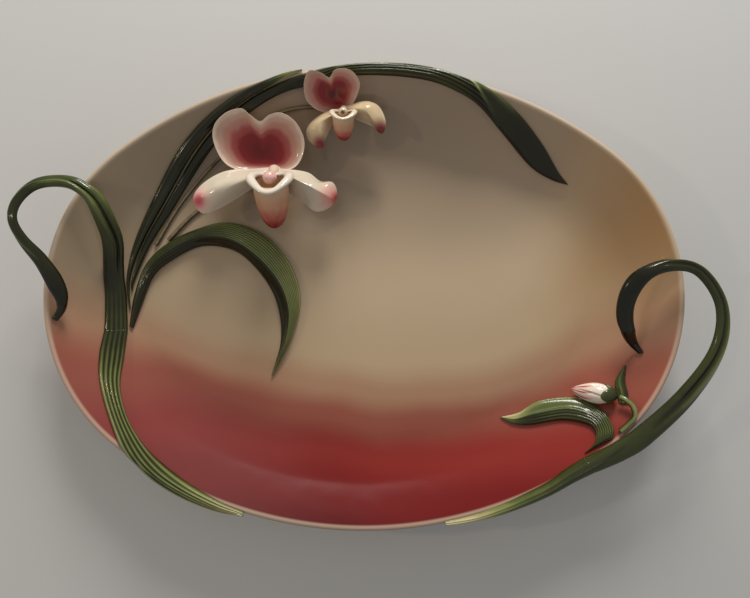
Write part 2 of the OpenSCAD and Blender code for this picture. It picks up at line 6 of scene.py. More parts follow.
import bpy
import numpy as np
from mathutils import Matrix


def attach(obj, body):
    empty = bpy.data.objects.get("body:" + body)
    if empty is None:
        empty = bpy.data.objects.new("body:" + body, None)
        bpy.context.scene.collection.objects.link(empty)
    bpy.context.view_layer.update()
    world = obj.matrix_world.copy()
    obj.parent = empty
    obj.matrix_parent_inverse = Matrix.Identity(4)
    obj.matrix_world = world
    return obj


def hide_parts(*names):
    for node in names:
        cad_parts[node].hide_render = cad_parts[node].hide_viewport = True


# ---- Camera --------------------------------------------------------------------------------
# The viewer stands over the dish and looks straight down into it, so near that the wall at
# each end leans away.
viewer = bpy.data.cameras.new("viewer")
viewer.lens = 28.8
viewer.sensor_width = 36.0
viewer_object = bpy.data.objects.new("viewer", viewer)
viewer_object.location = (0.008, 0.0, 0.480)
bpy.context.scene.collection.objects.link(viewer_object)
bpy.context.scene.camera = viewer_object

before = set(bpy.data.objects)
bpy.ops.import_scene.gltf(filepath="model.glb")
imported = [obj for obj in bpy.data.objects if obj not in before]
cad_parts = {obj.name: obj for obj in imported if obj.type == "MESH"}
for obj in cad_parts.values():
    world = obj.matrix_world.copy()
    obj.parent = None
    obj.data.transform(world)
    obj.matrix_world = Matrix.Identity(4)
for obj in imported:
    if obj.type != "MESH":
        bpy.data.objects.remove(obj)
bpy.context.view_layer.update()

# ---- The dish ------------------------------------------------------------------------------
# Slip-cast china, 4.4 mm thick: an oval of four arcs with a rolled lip, a straight wall and a
# cove into a flat floor. It is sprayed from ivory through coral to crimson under clear glaze.
DISH_L, DISH_W = 470.0, 340.0
RIM_H, WALL_T, WALL_SLOPE = 42.0, 4.4, math.radians(38)
COVE_R, FOOT_H = 55.0, 6.0
ARC_UNIT = (DISH_L - DISH_W) / 4
END_X, SIDE_Y = 3 * ARC_UNIT, 4 * ARC_UNIT
END_R, SIDE_R = DISH_L / 2 - END_X, DISH_W / 2 + SIDE_Y
LIP_R = WALL_T / 2
FLOOR_Z = FOOT_H + WALL_T
LIP_END_D = LIP_R * (1 + math.sin(WALL_SLOPE))
LIP_END_Z = RIM_H - LIP_R * (1 - math.cos(WALL_SLOPE))
COVE_START_Z = FLOOR_Z + COVE_R * (1 - math.cos(WALL_SLOPE))
COVE_START_D = LIP_END_D + (LIP_END_Z - COVE_START_Z) / math.tan(WALL_SLOPE)
FLOOR_D = COVE_START_D + COVE_R * math.sin(WALL_SLOPE)


def oval(angle, d):
    """Point a distance d in from the rim, where the rim's normal points at angle. Where the
    normal lies within 53 degrees of X the point is on an end arc, and else on a side arc."""
    c, s = np.cos(angle), np.sin(angle)
    end = np.abs(c) >= 0.6
    cx = np.where(end, np.sign(c) * END_X, 0.0)
    cy = np.where(end, 0.0, -np.sign(s) * SIDE_Y)
    r = np.where(end, END_R, SIDE_R) - d
    return cx + r * c, cy + r * s


def even_angles(count):
    """Normal angles that step evenly along the rim: the running sum of the arc radius is the
    length along the rim, and it is read back at even lengths."""
    fine = np.linspace(0, 2 * np.pi, 20001)
    radius = np.where(np.abs(np.cos(fine)) >= 0.6, END_R, SIDE_R)
    length = np.concatenate([[0], np.cumsum(0.5 * (radius[1:] + radius[:-1]))])
    return np.interp(np.arange(count) / count * length[-1], length, fine)


def inset(x, y):
    """Distance in from the rim: the arc's radius less the distance from that arc's centre."""
    ax, ay = np.abs(x), np.abs(y)
    end = 3 * ay < 4 * (ax - END_X)
    return np.where(end, END_R - np.hypot(ax - END_X, ay), SIDE_R - np.hypot(ax, ay + SIDE_Y))


def inner_height(d):
    """Height of the inside at distance d: flat over the lip, its round, the straight wall, the
    cove's arc, the floor. Outside the rim it falls away at 45 degrees."""
    lip = RIM_H - LIP_R + np.sqrt(np.maximum(0, LIP_R**2 - (d - LIP_R) ** 2))
    wall = LIP_END_Z - (d - LIP_END_D) * math.tan(WALL_SLOPE)
    cove = FLOOR_Z + COVE_R - np.sqrt(np.maximum(0, COVE_R**2 - (FLOOR_D - d) ** 2))
    return np.select(
        [d < LIP_R, d < LIP_END_D, d < COVE_START_D, d < FLOOR_D],
        [RIM_H + np.minimum(0, np.maximum(d, -LIP_R)), lip, wall, cove],
        FLOOR_Z,
    )


def lay_mesh(name, points, faces, paints):
    """A smooth mesh object from points in millimetres. Its signed volume, the sum of each
    face's box product over six, tells whether the faces must be turned over."""
    points = np.asarray(points, float) * 0.001
    volume = 0.0
    for face in faces:
        corner = [points[face[:, k]] for k in range(face.shape[1])]
        for k in range(1, len(corner) - 1):
            volume += np.einsum("ij,ij->", corner[0], np.cross(corner[k], corner[k + 1])) / 6
    rows = [row for face in faces for row in (face if volume > 0 else face[:, ::-1]).tolist()]
    mesh = bpy.data.meshes.new(name)
    mesh.from_pydata(points.tolist(), [], rows)
    mesh.polygons.foreach_set("use_smooth", np.ones(len(rows), bool))
    for paint, values in paints.items():
        mesh.attributes.new(paint, "FLOAT", "POINT").data.foreach_set("value", values)
    mesh.update()
    made = bpy.data.objects.new(name, mesh)
    bpy.context.scene.collection.objects.link(made)
    return made


def closed_skin(name, rings, first, last, **paints):
    """A skin over rings (count, around, 3), closed at each end by a fan to a pole. A paint is
    one number for each point of the rings, and a pole takes its ring's mean."""
    m, n = rings.shape[:2]
    a = np.arange(m - 1)[:, None] * n + np.arange(n)
    b = np.arange(m - 1)[:, None] * n + (np.arange(n) + 1) % n
    quads = np.stack([a, b, b + n, a + n], -1).reshape(-1, 4)
    k = np.arange(n)
    start = np.stack([np.full(n, m * n), (k + 1) % n, k], -1)
    end = np.stack([np.full(n, m * n + 1), (m - 1) * n + k, (m - 1) * n + (k + 1) % n], -1)
    points = np.vstack([rings.reshape(-1, 3), [first, last]])
    full = {}
    for paint, v in paints.items():
        v = np.broadcast_to(v, (m, n))
        full[paint] = np.concatenate([v.ravel(), [v[0].mean(), v[-1].mean()]]).astype(np.float32)
    return lay_mesh(name, points, [quads, start, end], full)


def hoop_skin(name, rings, **paints):
    """A skin over rings that close up both ways, like a tyre's."""
    m, n = rings.shape[:2]
    i, k = np.meshgrid(np.arange(m), np.arange(n), indexing="ij")
    j, l = (i + 1) % m, (k + 1) % n
    quads = np.stack([i * n + k, i * n + l, j * n + l, j * n + k], -1).reshape(-1, 4)
    full = {p: np.broadcast_to(v, (m, n)).ravel().astype(np.float32) for p, v in paints.items()}
    return lay_mesh(name, rings.reshape(-1, 3), [quads], full)


def node(glaze, kind, inputs=(), **settings):
    """Adds a shader node to a glaze. An input is set if it is given a value, and joined if it
    is given another node's output."""
    made = glaze.node_tree.nodes.new("ShaderNode" + kind)
    for key, value in settings.items():
        setattr(made, key, value)
    for key, value in dict(inputs).items():
        if isinstance(value, bpy.types.NodeSocket):
            glaze.node_tree.links.new(value, made.inputs[key])
        else:
            made.inputs[key].default_value = value
    return made


def sum_of(glaze, operation, a, b=0.0, c=0.0):
    """One arithmetic step of a glaze's pattern."""
    return node(glaze, "Math", {0: a, 1: b, 2: c}, operation=operation).outputs[0]


def times(glaze, a, b):
    """One value of a glaze's pattern times another."""
    return sum_of(glaze, "MULTIPLY", a, b)


def plus(glaze, a, b):
    """One value of a glaze's pattern added to another."""
    return sum_of(glaze, "ADD", a, b)


def spread(glaze, value, low, high):
    """0 where value is low, 1 where it is high, and smooth between."""
    made = node(glaze, "MapRange", {0: value, 1: low, 2: high}, interpolation_type="SMOOTHSTEP")
    return made.outputs[0]


def over(glaze, share, under, upper):
    """One colour sprayed over another, by share."""
    mixed = node(glaze, "Mix", {0: share, 6: under, 7: upper}, data_type="RGBA")
    return mixed.outputs[2]


def spray(glaze, under, tone, most, *shares):
    """A tone sprayed over another colour, as dense as most times every share."""
    for share in shares:
        most = times(glaze, share, most)
    return over(glaze, most, under, tone)


def shades(glaze, value, stops):
    """Colours laid along a value, each stop being (place, red, green, blue)."""
    made = node(glaze, "ValToRGB", {0: value})
    ramp = made.color_ramp
    ramp.interpolation = "EASE"
    while len(ramp.elements) < len(stops):
        ramp.elements.new(0.5)
    for element, stop in zip(ramp.elements, stops):
        element.position = stop[0]
        element.color = (*stop[1:], 1.0)
    return made.outputs[0]


def paint_of(glaze, name):
    """The number that a piece's mesh carries under this name."""
    return node(glaze, "Attribute", attribute_name=name).outputs["Fac"]


def place_of(glaze):
    """The point's X, Y and Z in the piece's own frame, in metres."""
    return node(glaze, "SeparateXYZ", {0: node(glaze, "TexCoord").outputs["Object"]}).outputs


def cloud(glaze, scale, detail=3.0, roughness=0.5):
    """Soft even noise, from 0 to 1."""
    where = node(glaze, "TexCoord").outputs["Object"]
    made = node(glaze, "TexNoise", {"Vector": where, "Scale": scale, "Detail": detail})
    made.inputs["Roughness"].default_value = roughness
    return made.outputs["Fac"]


def new_glaze(name, roughness=0.12, coat=0.12, coat_roughness=0.04):
    """A clear glaze over colour. Its bump is the faint orange peel of fired glaze over the
    slow unevenness of a hand-finished surface."""
    glaze = bpy.data.materials.new(name)
    glaze.use_nodes = True
    body = glaze.node_tree.nodes["Principled BSDF"]
    body.inputs["Roughness"].default_value = roughness
    body.inputs["IOR"].default_value = 1.5
    body.inputs["Specular IOR Level"].default_value = 0.4
    body.inputs["Coat Weight"].default_value = coat
    body.inputs["Coat Roughness"].default_value = coat_roughness
    peel = cloud(glaze, 900.0, 1.0)
    slow = cloud(glaze, 38.0, 1.0)
    fine = node(glaze, "Bump", {"Strength": 0.05, "Distance": 0.0002, "Height": peel})
    broad = node(glaze, "Bump", {"Strength": 0.12, "Distance": 0.0015, "Height": slow})
    glaze.node_tree.links.new(fine.outputs[0], broad.inputs["Normal"])
    glaze.node_tree.links.new(broad.outputs[0], body.inputs["Normal"])
    glaze.node_tree.links.new(broad.outputs[0], body.inputs["Coat Normal"])
    return glaze


def colour(glaze, output):
    """Gives the glaze its finished colour."""
    body = glaze.node_tree.nodes["Principled BSDF"]
    glaze.node_tree.links.new(output, body.inputs["Base Color"])
    return glaze


def put_on(piece, glaze, slot, *stands_for):
    """Glazes a piece, fixes it to the dish and lets it stand for its plain solid."""
    piece.data.materials.append(glaze)
    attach(piece, "root")
    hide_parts(*stands_for)
    return piece


def dish_section():
    """The wall's section as (distance in, height, share of the floor ring's size), from the
    middle of the underside out, over the lip and back to the middle of the inside. Also how
    many of its rows lie outside, up to the top of the lip."""
    shrink = np.linspace(0.04, 1, 22)[:-1]
    flat = np.full_like(shrink, FLOOR_D)
    cove_z = FLOOR_Z + COVE_R
    w = np.linspace(-math.pi, WALL_SLOPE - math.pi, 26)
    outer = COVE_R + WALL_T
    under = np.stack([FLOOR_D + outer * np.sin(w), cove_z + outer * np.cos(w)], 1)
    straight = np.linspace(0, 1, 12)[1:-1, None]
    w = np.linspace(WALL_SLOPE - math.pi, WALL_SLOPE, 19)
    lip = np.stack([LIP_R + LIP_R * np.sin(w), RIM_H - LIP_R + LIP_R * np.cos(w)], 1)
    d = np.concatenate([np.linspace(LIP_END_D, COVE_START_D, 14)[1:],
                        np.linspace(COVE_START_D, FLOOR_D, 30)[1:]])
    inside = np.stack([d, inner_height(d)], 1)
    wall = np.vstack([under, under[-1] + (lip[0] - under[-1]) * straight, lip, inside])
    below = np.stack([flat, np.full_like(flat, FOOT_H), shrink], 1)
    above = np.stack([flat, np.full_like(flat, FLOOR_Z), shrink[::-1]], 1)
    outside = len(below) + len(under) + len(straight) + len(lip) // 2
    return np.vstack([below, np.c_[wall, np.ones(len(wall))], above]), outside


section, outside_rows = dish_section()
angles = even_angles(440)
dish_x, dish_y = oval(angles[None, :], section[:, 0:1])
dish_rings = np.stack([dish_x * section[:, 2:], dish_y * section[:, 2:],
                       np.broadcast_to(section[:, 1:2], dish_x.shape)], -1)
outside = np.arange(len(section)) < outside_rows
dish = closed_skin("oval_dish", dish_rings, (0, 0, FOOT_H), (0, 0, FLOOR_Z),
                   back=outside.astype(float)[:, None])

dish_glaze = new_glaze("ivory_to_crimson_glaze", 0.10, 0.0)
x, y, z = place_of(dish_glaze)
drift = sum_of(dish_glaze, "MULTIPLY_ADD", cloud(dish_glaze, 9.0, 2.0), 0.030, -0.015)
# The spray's edge runs 75 mm below the middle and climbs towards both ends, and a little more
# at the right.
curve = times(dish_glaze, times(dish_glaze, x, x), -0.93)
level = plus(dish_glaze, y, curve)
level = sum_of(dish_glaze, "MULTIPLY_ADD", x, 0.068, level)
level = plus(dish_glaze, level, drift)
level = sum_of(dish_glaze, "MULTIPLY_ADD", spread(dish_glaze, x, 0.09, 0.19), -0.024, level)
# Over the last 100 mm towards each end it spreads out softer.
end = spread(dish_glaze, sum_of(dish_glaze, "ABSOLUTE", x), 0.10, 0.21)
level = times(dish_glaze, plus(dish_glaze, level, 0.075),
               sum_of(dish_glaze, "MULTIPLY_ADD", end, -1.7, 4.0))
level = plus(dish_glaze, level, 0.43)
# The last stop, towards the top of the dish, is darker than the one before it: painted shade where
# the top wall faces away from the light.
sprayed = shades(dish_glaze, level, [
    (0.00, 0.075, 0.003, 0.004), (0.14, 0.175, 0.008, 0.007), (0.25, 0.27, 0.024, 0.018),
    (0.36, 0.33, 0.095, 0.060), (0.45, 0.44, 0.25, 0.15), (0.56, 0.54, 0.40, 0.25),
    (0.75, 0.56, 0.43, 0.29), (1.00, 0.46, 0.35, 0.24)])
# Ochre over the right end, painted shade over the top and the left, and rose low at the left.
sprayed = spray(dish_glaze, sprayed, (0.45, 0.24, 0.082, 1), 0.85,
                spread(dish_glaze, x, 0.12, 0.225), spread(dish_glaze, level, 0.42, 0.62))
# Painted shade: a duller, darker ivory over the top, where the top wall faces away from the light,
# fading out towards the right end.
sprayed = spray(dish_glaze, sprayed, (0.30, 0.23, 0.175, 1), 0.60,
                spread(dish_glaze, y, 0.03, 0.15), spread(dish_glaze, x, 0.20, 0.0))
# Painted shade: a darker ivory over the left, above the spray's edge, where the left of the floor
# lies dimmer.
sprayed = spray(dish_glaze, sprayed, (0.34, 0.26, 0.17, 1), 0.55,
                spread(dish_glaze, x, 0.02, -0.17), spread(dish_glaze, level, 0.40, 0.56))
sprayed = spray(dish_glaze, sprayed, (0.23, 0.070, 0.066, 1), 0.50,
                spread(dish_glaze, x, 0.0, -0.14), spread(dish_glaze, level, 0.44, 0.26))
# The lip is paler, partly where the spray thins and partly as a painted highlight along its top,
# and the outside fades to cream towards the foot.
sprayed = spray(dish_glaze, sprayed, (0.74, 0.60, 0.45, 1), 0.5,
                spread(dish_glaze, z, 0.0404, 0.0418))
blush = times(dish_glaze, spread(dish_glaze, z, 0.012, 0.040), 0.75)
back_colour = over(dish_glaze, blush, (0.72, 0.62, 0.48, 1), sprayed)
colour(dish_glaze, over(dish_glaze, paint_of(dish_glaze, "back"), sprayed, back_colour))
put_on(dish, dish_glaze, "dish_glaze", "platter_dish")

# ---- The foot ring -------------------------------------------------------------------------
# A low ring of the same clay under the floor. Its foot is wiped clean of glaze before firing,
# so it is pale bare china, and its two lower edges are eased.
FOOT_W, FOOT_INSET, FOOT_SINK = 6.0, 1.0, 0.1


def squared(wave):
    """A cosine or sine raised to a small power, with its sign kept, which squares the circle."""
    return np.sign(wave) * np.abs(wave) ** 0.35


foot_u = np.linspace(0, 2 * np.pi, 33)[:-1]
foot_d = FLOOR_D + FOOT_INSET + FOOT_W / 2 + FOOT_W / 2 * squared(np.cos(foot_u))
foot_z = (FOOT_H / 2 + FOOT_SINK) * (1 + squared(np.sin(foot_u)))
foot_x, foot_y = oval(angles[None, ::2], foot_d[:, None])
foot_rings = np.stack([foot_x, foot_y, np.broadcast_to(foot_z[:, None], foot_x.shape)], -1)
foot = hoop_skin("bare_foot_ring", foot_rings)
bare_china = new_glaze("bare_china", 0.62, 0.0)
speck = spread(bare_china, cloud(bare_china, 700.0, 2.0), 0.62, 0.70)
bare = over(bare_china, cloud(bare_china, 60.0), (0.70, 0.62, 0.52, 1), (0.80, 0.74, 0.65, 1))
colour(bare_china, spray(bare_china, bare, (0.45, 0.33, 0.22, 1), 0.4, speck))
put_on(foot, bare_china, "bare_foot", "foot_ring")

# ---- The left stem -------------------------------------------------------------------------
# A ribbed stem of rolled clay that climbs the wall from the bottom rim. Its glaze breaks pale
# green over the ribs and pools dark between them, and it fades out pale at its lower end.
# Leaves lie SLIP above the wall. Their edges are LEAF_EDGE thick, and their ends bulge LEAF_END.
SLIP, LEAF_EDGE, LEAF_END = 0.1, 1.2, 0.05
LEFT_STEM = np.array([
    [-88, -158.5, 0.3, -88, -155, 0.3, 1.6, 0],
    [-109, -155, 0.4, -106, -147, 0.4, 3, 0],
    [-135, -145, 0.5, -128, -135, 0.4, 4, 0],
    [-158, -130.5, 0.5, -147.5, -121.5, 0.4, 4.5, 0],
    [-175.5, -111.5, 0.5, -164, -107, 0.2, 4.5, 0],
    [-189.5, -87, 0.1, -177.5, -89, 0, 4.5, 0],
    [-199, -62, 0, -186, -66, 0, 4.5, 0],
    [-201.5, -42, 0, -186, -43, 0, 4.5, 0],
    [-200, -24.1, 0, -184.5, -24.1, 0, 4.5, 0]], float)


def cubic(p0, p1, p2, p3, f):
    """The cubic from p1 to p2, at a share f, whose slope at each is half its neighbours' span."""
    return 0.5 * (2 * p1 + (p2 - p0) * f + (2 * p0 - 5 * p1 + 4 * p2 - p3) * f**2
                  + (3 * p1 - p0 - 3 * p2 + p3) * f**3)


def through(stations, t):
    """Smooth curve through the stations, one cubic for each step."""
    last = len(stations) - 1
    i = np.clip(np.floor(t).astype(int), 0, last - 1)
    near = (stations[np.clip(i + k, 0, last)] for k in (-1, 0, 1, 2))
    return cubic(*near, (t - i)[:, None])


def on_dish(x, y, lift, free):
    """Height of a point that stands lift above the dish's inside where free is 0, and lift
    above the rim where free is 1, and never in the dish."""
    inside = inner_height(inset(x, y))
    return np.maximum(inside, inside + np.clip(free, 0, 1) * (RIM_H - inside) + lift)


def unit(v):
    """Each vector divided by its length."""
    return v / np.maximum(np.linalg.norm(v, axis=-1, keepdims=True), 1e-9)


def bump(value, centre, width):
    """A smooth hump: e to the minus square of the distance from centre over width."""
    return np.exp(-(((value - centre) / width) ** 2))


def ramp(value, low, high):
    """0 at low, 1 at high, smooth between: three squares less two cubes."""
    f = np.clip((value - low) / (high - low), 0, 1)
    return f * f * (3 - 2 * f)


def blade(name, stations, relief, tint, across=36, along=12, power=2.6):
    """A modelled leaf. A station holds the left edge's x, y and lift, the right edge's x, y and
    lift, the thickness, and how far the leaf is free of the dish. The top stands over the base,
    along the base's own normal smoothed over a station, by the thickness times a rounded
    section plus relief(u, t), with u across and t along in stations."""
    t = np.linspace(0, len(stations) - 1, (len(stations) - 1) * along + 1)
    s = through(stations, t)
    u = 0.5 - 0.5 * np.cos(np.linspace(0, math.pi, across + 1))
    x = s[:, 0:1] * (1 - u) + s[:, 3:4] * u
    y = s[:, 1:2] * (1 - u) + s[:, 4:5] * u
    lift = s[:, 2:3] * (1 - u) + s[:, 5:6] * u + SLIP
    base = np.stack([x, y, on_dish(x, y, lift, s[:, 7:8])], -1)
    axis = base[:, across // 2]
    way = np.gradient(axis, axis=0)
    face = unit(np.cross(base[:, -1] - base[:, 0], way))
    face = np.where(face[:, 2:] < 0, -face, face)
    kernel = np.hanning(2 * along + 3)[1:-1]
    kernel = kernel / kernel.sum()
    pad = np.pad(face, ((along, along), (0, 0)), mode="edge")
    face = unit(np.stack([np.convolve(column, kernel, "valid") for column in pad.T], -1))[:, None]
    round_top = (1 - np.abs(2 * u - 1) ** power) ** (1 / power)
    round_low = (1 - np.abs(2 * u - 1) ** 4) ** 0.25
    grid_u, grid_t = np.broadcast_to(u, x.shape), np.broadcast_to(t[:, None], x.shape)
    height = LEAF_EDGE / 2 + (s[:, 6:7] - LEAF_EDGE / 2 + relief(grid_u, grid_t)) * round_top
    low = LEAF_EDGE / 2 * (1 - round_low)
    top = base + face * height[..., None]
    under = base + face * np.broadcast_to(low, x.shape)[..., None]
    rings = np.concatenate([top, under[:, -2:0:-1]], 1)
    shade = tint(grid_u, grid_t)
    shade = np.concatenate([shade, shade[:, -2:0:-1] * 0.8], 1)
    first = rings[0].mean(0) - LEAF_END * unit(way[0])
    last = rings[-1].mean(0) + LEAF_END * unit(way[-1])
    return closed_skin(name, rings, first, last, tint=np.clip(shade, 0, 1))


def leaf_glaze_of(name, bias=0.0):
    """Leaf glaze: the mesh's tint runs from near-black olive in the hollows through green to
    beige on thin edges and tips, with faint streaks as from a brush. Some tints also carry
    painted shade and painted highlights."""
    glaze = new_glaze(name, 0.16, 0.10)
    tint = plus(glaze, paint_of(glaze, "tint"), bias)
    mottle = sum_of(glaze, "MULTIPLY_ADD", cloud(glaze, 110.0, 4.0, 0.6), 0.14, -0.07)
    tint = plus(glaze, tint, mottle)
    return colour(glaze, shades(glaze, tint, [
        (0.00, 0.006, 0.006, 0.002), (0.20, 0.017, 0.018, 0.005), (0.38, 0.045, 0.054, 0.014),
        (0.55, 0.100, 0.124, 0.034), (0.72, 0.210, 0.230, 0.078), (0.86, 0.380, 0.360, 0.165),
        (1.00, 0.600, 0.520, 0.310)]))


leaf_glaze = leaf_glaze_of("leaf_green_glaze")


def five_ribs(u):
    """Five ribs across the stem: the square of a sine, so that each is round on top."""
    return 1.1 * np.sin(5 * np.pi * u) ** 2 - 0.7


def stem_ribs(u, t):
    """The ribs, lower towards the handle."""
    return five_ribs(u) * (0.55 + 0.45 * ramp(t, 8.0, 6.6))


def stem_tint(u, t):
    """Pale over the ribs, dark between; paler below, darker where the leaves part."""
    ribs = np.abs(np.sin(5 * np.pi * u)) ** 1.2
    pale = 0.96 - 0.30 * ramp(t, 0.3, 3.5) + 0.06 * bump(t, 5.5, 1.3) - 0.28 * ramp(t, 6.0, 8.0)
    pale = pale + 0.22 * ramp(u, 0.16, 0.02) * ramp(t, 7.2, 5.6)
    return pale - (0.50 - 0.14 * bump(t, 0, 1.6)) * (1 - ribs) * (0.5 + 0.5 * ramp(t, 8.0, 6.6))


left_stem = blade("ribbed_left_stem", LEFT_STEM, stem_ribs, stem_tint, across=60)
put_on(left_stem, leaf_glaze, "stem_glaze", "left_stem")

# ---- The left handle leaf ------------------------------------------------------------------
# A strap of clay that grows out of the left stem, stands over the rim as a loop for the hand,
# turns over on itself and touches down again with a hooked tip.
LEFT_HANDLE = np.array([
    [-200, -24, 0, -184.5, -24, 0, 4.5, 0],
    [-200, 0, 0, -185.5, 0, 0, 4.5, 0],
    [-200.5, 24, 0, -187, 25, 0, 4.5, 0],
    [-196, 47, 6, -182, 49, 6, 4.5, 0.3],
    [-198.5, 67, 5, -186, 72, 5, 4.5, 1],
    [-206.5, 76.5, 8, -200, 84.5, 7, 4.5, 1],
    [-217, 79.5, 11, -214, 88, 8, 4.5, 1],
    [-231, 77, 13, -233, 84.5, 9, 4.5, 1],
    [-239.5, 67, 17, -246, 72, 10, 4.5, 1],
    [-242, 56, 18, -248.7, 57, 11, 4.5, 1],
    [-237, 44.5, 15, -244, 41, 9, 4.5, 1],
    [-226.5, 31, 9, -234.5, 24.5, 7, 4.5, 1],
    [-216, 14, 6, -227, 8.5, 6, 4.5, 1],
    [-215.5, -2, 1, -223.5, -3, 1, 4, 1],
    [-226, -16, 0, -229, -13.5, 0, 2.5, 0]], float)


def left_handle_relief(u, t):
    """A midrib groove that slants from the middle to the right edge over the first bend, a
    ridge left of it, a sharp ridge down the narrow part of the loop, and the stem's ribs run
    out at the foot."""
    groove_u = 0.52 + 0.20 * ramp(t, 4.8, 2.6)
    groove = -1.5 * bump(u, groove_u, 0.06) * ramp(t, 1.4, 2.6) * ramp(t, 6.0, 4.8)
    ridge = 1.3 * bump(u, groove_u - 0.2, 0.13) * ramp(t, 2.2, 3.4) * ramp(t, 7.0, 5.4)
    loop = 1.3 * bump(u, 0.38, 0.13) * ramp(t, 6.4, 7.6) * ramp(t, 11.8, 10.4)
    veins = 0.16 * np.sin(14 * np.pi * u) * ramp(t, 0.4, 1.5) * ramp(t, 13, 10)
    ribs = 0.55 * five_ribs(u) * ramp(t, 1.8, 0.0)
    return groove + ridge + loop + veins + ribs


def left_handle_tint(u, t):
    """Dark olive, lighter green over the bend, a light line down the narrow part, and dark
    again where the blade comes back."""
    groove_u = 0.52 + 0.20 * ramp(t, 4.8, 2.6)
    bend = ramp(t, 1.8, 4.2) * ramp(t, 7.6, 6.2)
    tint = 0.24 + 0.20 * bend + 0.20 * bump(u, groove_u - 0.2, 0.12) * bend
    tint = tint + (0.14 - 0.25 * (1 - np.abs(np.sin(5 * np.pi * u)) ** 1.2)) * ramp(t, 1.8, 0.0)
    tint = tint - 0.30 * bump(u, groove_u, 0.05) * ramp(t, 1.4, 2.6) * ramp(t, 6.0, 4.8)
    tint = tint + 0.10 * ramp(u, 0.7, 1.0) * ramp(t, 1.5, 3) * ramp(t, 5.5, 4.5)
    tint = tint + 0.34 * bump(u, 0.38, 0.06) * ramp(t, 6.8, 7.8) * ramp(t, 11.4, 10.4)
    return tint - 0.14 * ramp(t, 10.4, 11.8) + 0.10 * ramp(t, 13.2, 14.0)


left_handle = blade("left_handle_strap", LEFT_HANDLE, left_handle_relief, left_handle_tint,
                    across=48, along=16)
put_on(left_handle, leaf_glaze, "leaf_glaze", "left_handle_leaf")

# ---- The tall pair of leaves ---------------------------------------------------------------
# Two long blades that climb the wall side by side and part near the top. The outer one ends in
# a pale point on the rim. The inner one follows the rim, turns over, and comes back down.
OUTER_TALL = np.array([
    [-183.6, -7, 0, -182.6, -8, 0, 2, 0],
    [-185.4, 17, 0, -182.5, 16.5, 0, 4, 0],
    [-178.5, 46, 0, -173, 43.5, 0, 5, 0],
    [-162.5, 79, 0, -155.5, 74.5, 0, 5, 0],
    [-141, 111, 0, -134.5, 105.5, 0, 5, 0],
    [-118, 134, 0, -113, 129, 0, 5, 0],
    [-90.5, 152, 0, -87.5, 147, 0, 4.5, 0],
    [-64, 163, 0, -62, 159, 0, 3.5, 0],
    [-45, 167, 0, -45, 166, 0, 1.6, 0]], float)
RIM_LEAF = np.array([
    [-182, 7, 0, -181.2, 6, 0, 2, 0],
    [-181.5, 16, 0, -179, 15.5, 0, 3.5, 0],
    [-172, 43.5, 0, -167.5, 41.5, 0, 3.5, 0],
    [-154.5, 74, 0, -149, 70.5, 0, 3.5, 0],
    [-133.5, 105, 0, -128.5, 100.5, 0, 3.5, 0],
    [-112.5, 128, 0, -108, 123.5, 0, 3.5, 0],
    [-87, 146.5, 0, -83.5, 141, 0, 3.5, 0],
    [-62, 158.5, 0, -59.5, 153, 0, 3.5, 0],
    [-34, 167.5, 0.3, -33, 159, 0.1, 3.5, 0],
    [-12, 172, 0.3, -12, 163.5, 0.1, 3.5, 0],
    [19, 173, 0.3, 19, 163.5, 0.1, 4, 0],
    [48, 170, 0.3, 47, 160, 0.1, 4, 0],
    [72, 163, 0.3, 68, 153, 0.1, 4, 0],
    [91, 154, 0.3, 86, 143, 0.1, 4, 0],
    [115, 136, 0.3, 107, 123, 0.1, 4, 0],
    [134, 116, 0, 128, 102, 0, 4, 0],
    [148, 97, 0, 144, 92, 0, 3, 0],
    [156, 88, 0, 155, 88, 0, 1.6, 0]], float)


def outer_tall_relief(u, t):
    """Three shallow ribs along the blade."""
    return 0.35 * np.sin(3 * np.pi * u) ** 2 - 0.2


def outer_tall_tint(u, t):
    """Near-black olive with a thin pale line along the right edge as a painted highlight, faint
    painted glints along the middle, and a pale point.
    """
    # Painted highlight: the thin pale line along the right edge.
    line = 0.55 * bump(u, 0.97, 0.07) * ramp(t, 3.2, 4.2)
    glints = 0.12 * bump(u, 0.55, 0.12) * ramp(t, 0.6, 1.5) * ramp(t, 4.5, 3.0)
    return 0.20 + line + glints + 0.55 * ramp(t, 6.4, 7.6) + 0.15 * ramp(t, 1.2, 0.2)


outer_tall = blade("outer_tall_blade", OUTER_TALL, outer_tall_relief, outer_tall_tint, along=14)
put_on(outer_tall, leaf_glaze, "leaf_glaze", "outer_tall_leaf")


def turn_line(u):
    """Where the ribbed side ends and the plain back begins: a slanting line across the leaf."""
    return 12.2 + 1.5 * u


def rim_leaf_relief(u, t):
    """Five ribs up to the slanting turn, where the ribbed side steps up 1.3 mm, its edge
    rolled; beyond it the back is smooth with a soft midrib."""
    ribbed = ramp(t, turn_line(u) + 0.12, turn_line(u) - 0.04)
    ribs = 1.0 * np.abs(np.sin(5 * np.pi * u)) ** 1.4 - 0.5
    step = 1.3 * ramp(t, turn_line(u) - 3.0, turn_line(u) - 0.2)
    back = 0.6 * bump(u, 0.45, 0.3) * ramp(t, 13, 14.5) - 0.4
    return ribbed * (ribs * ramp(t, 6.2, 8.5) + step) + (1 - ribbed) * back


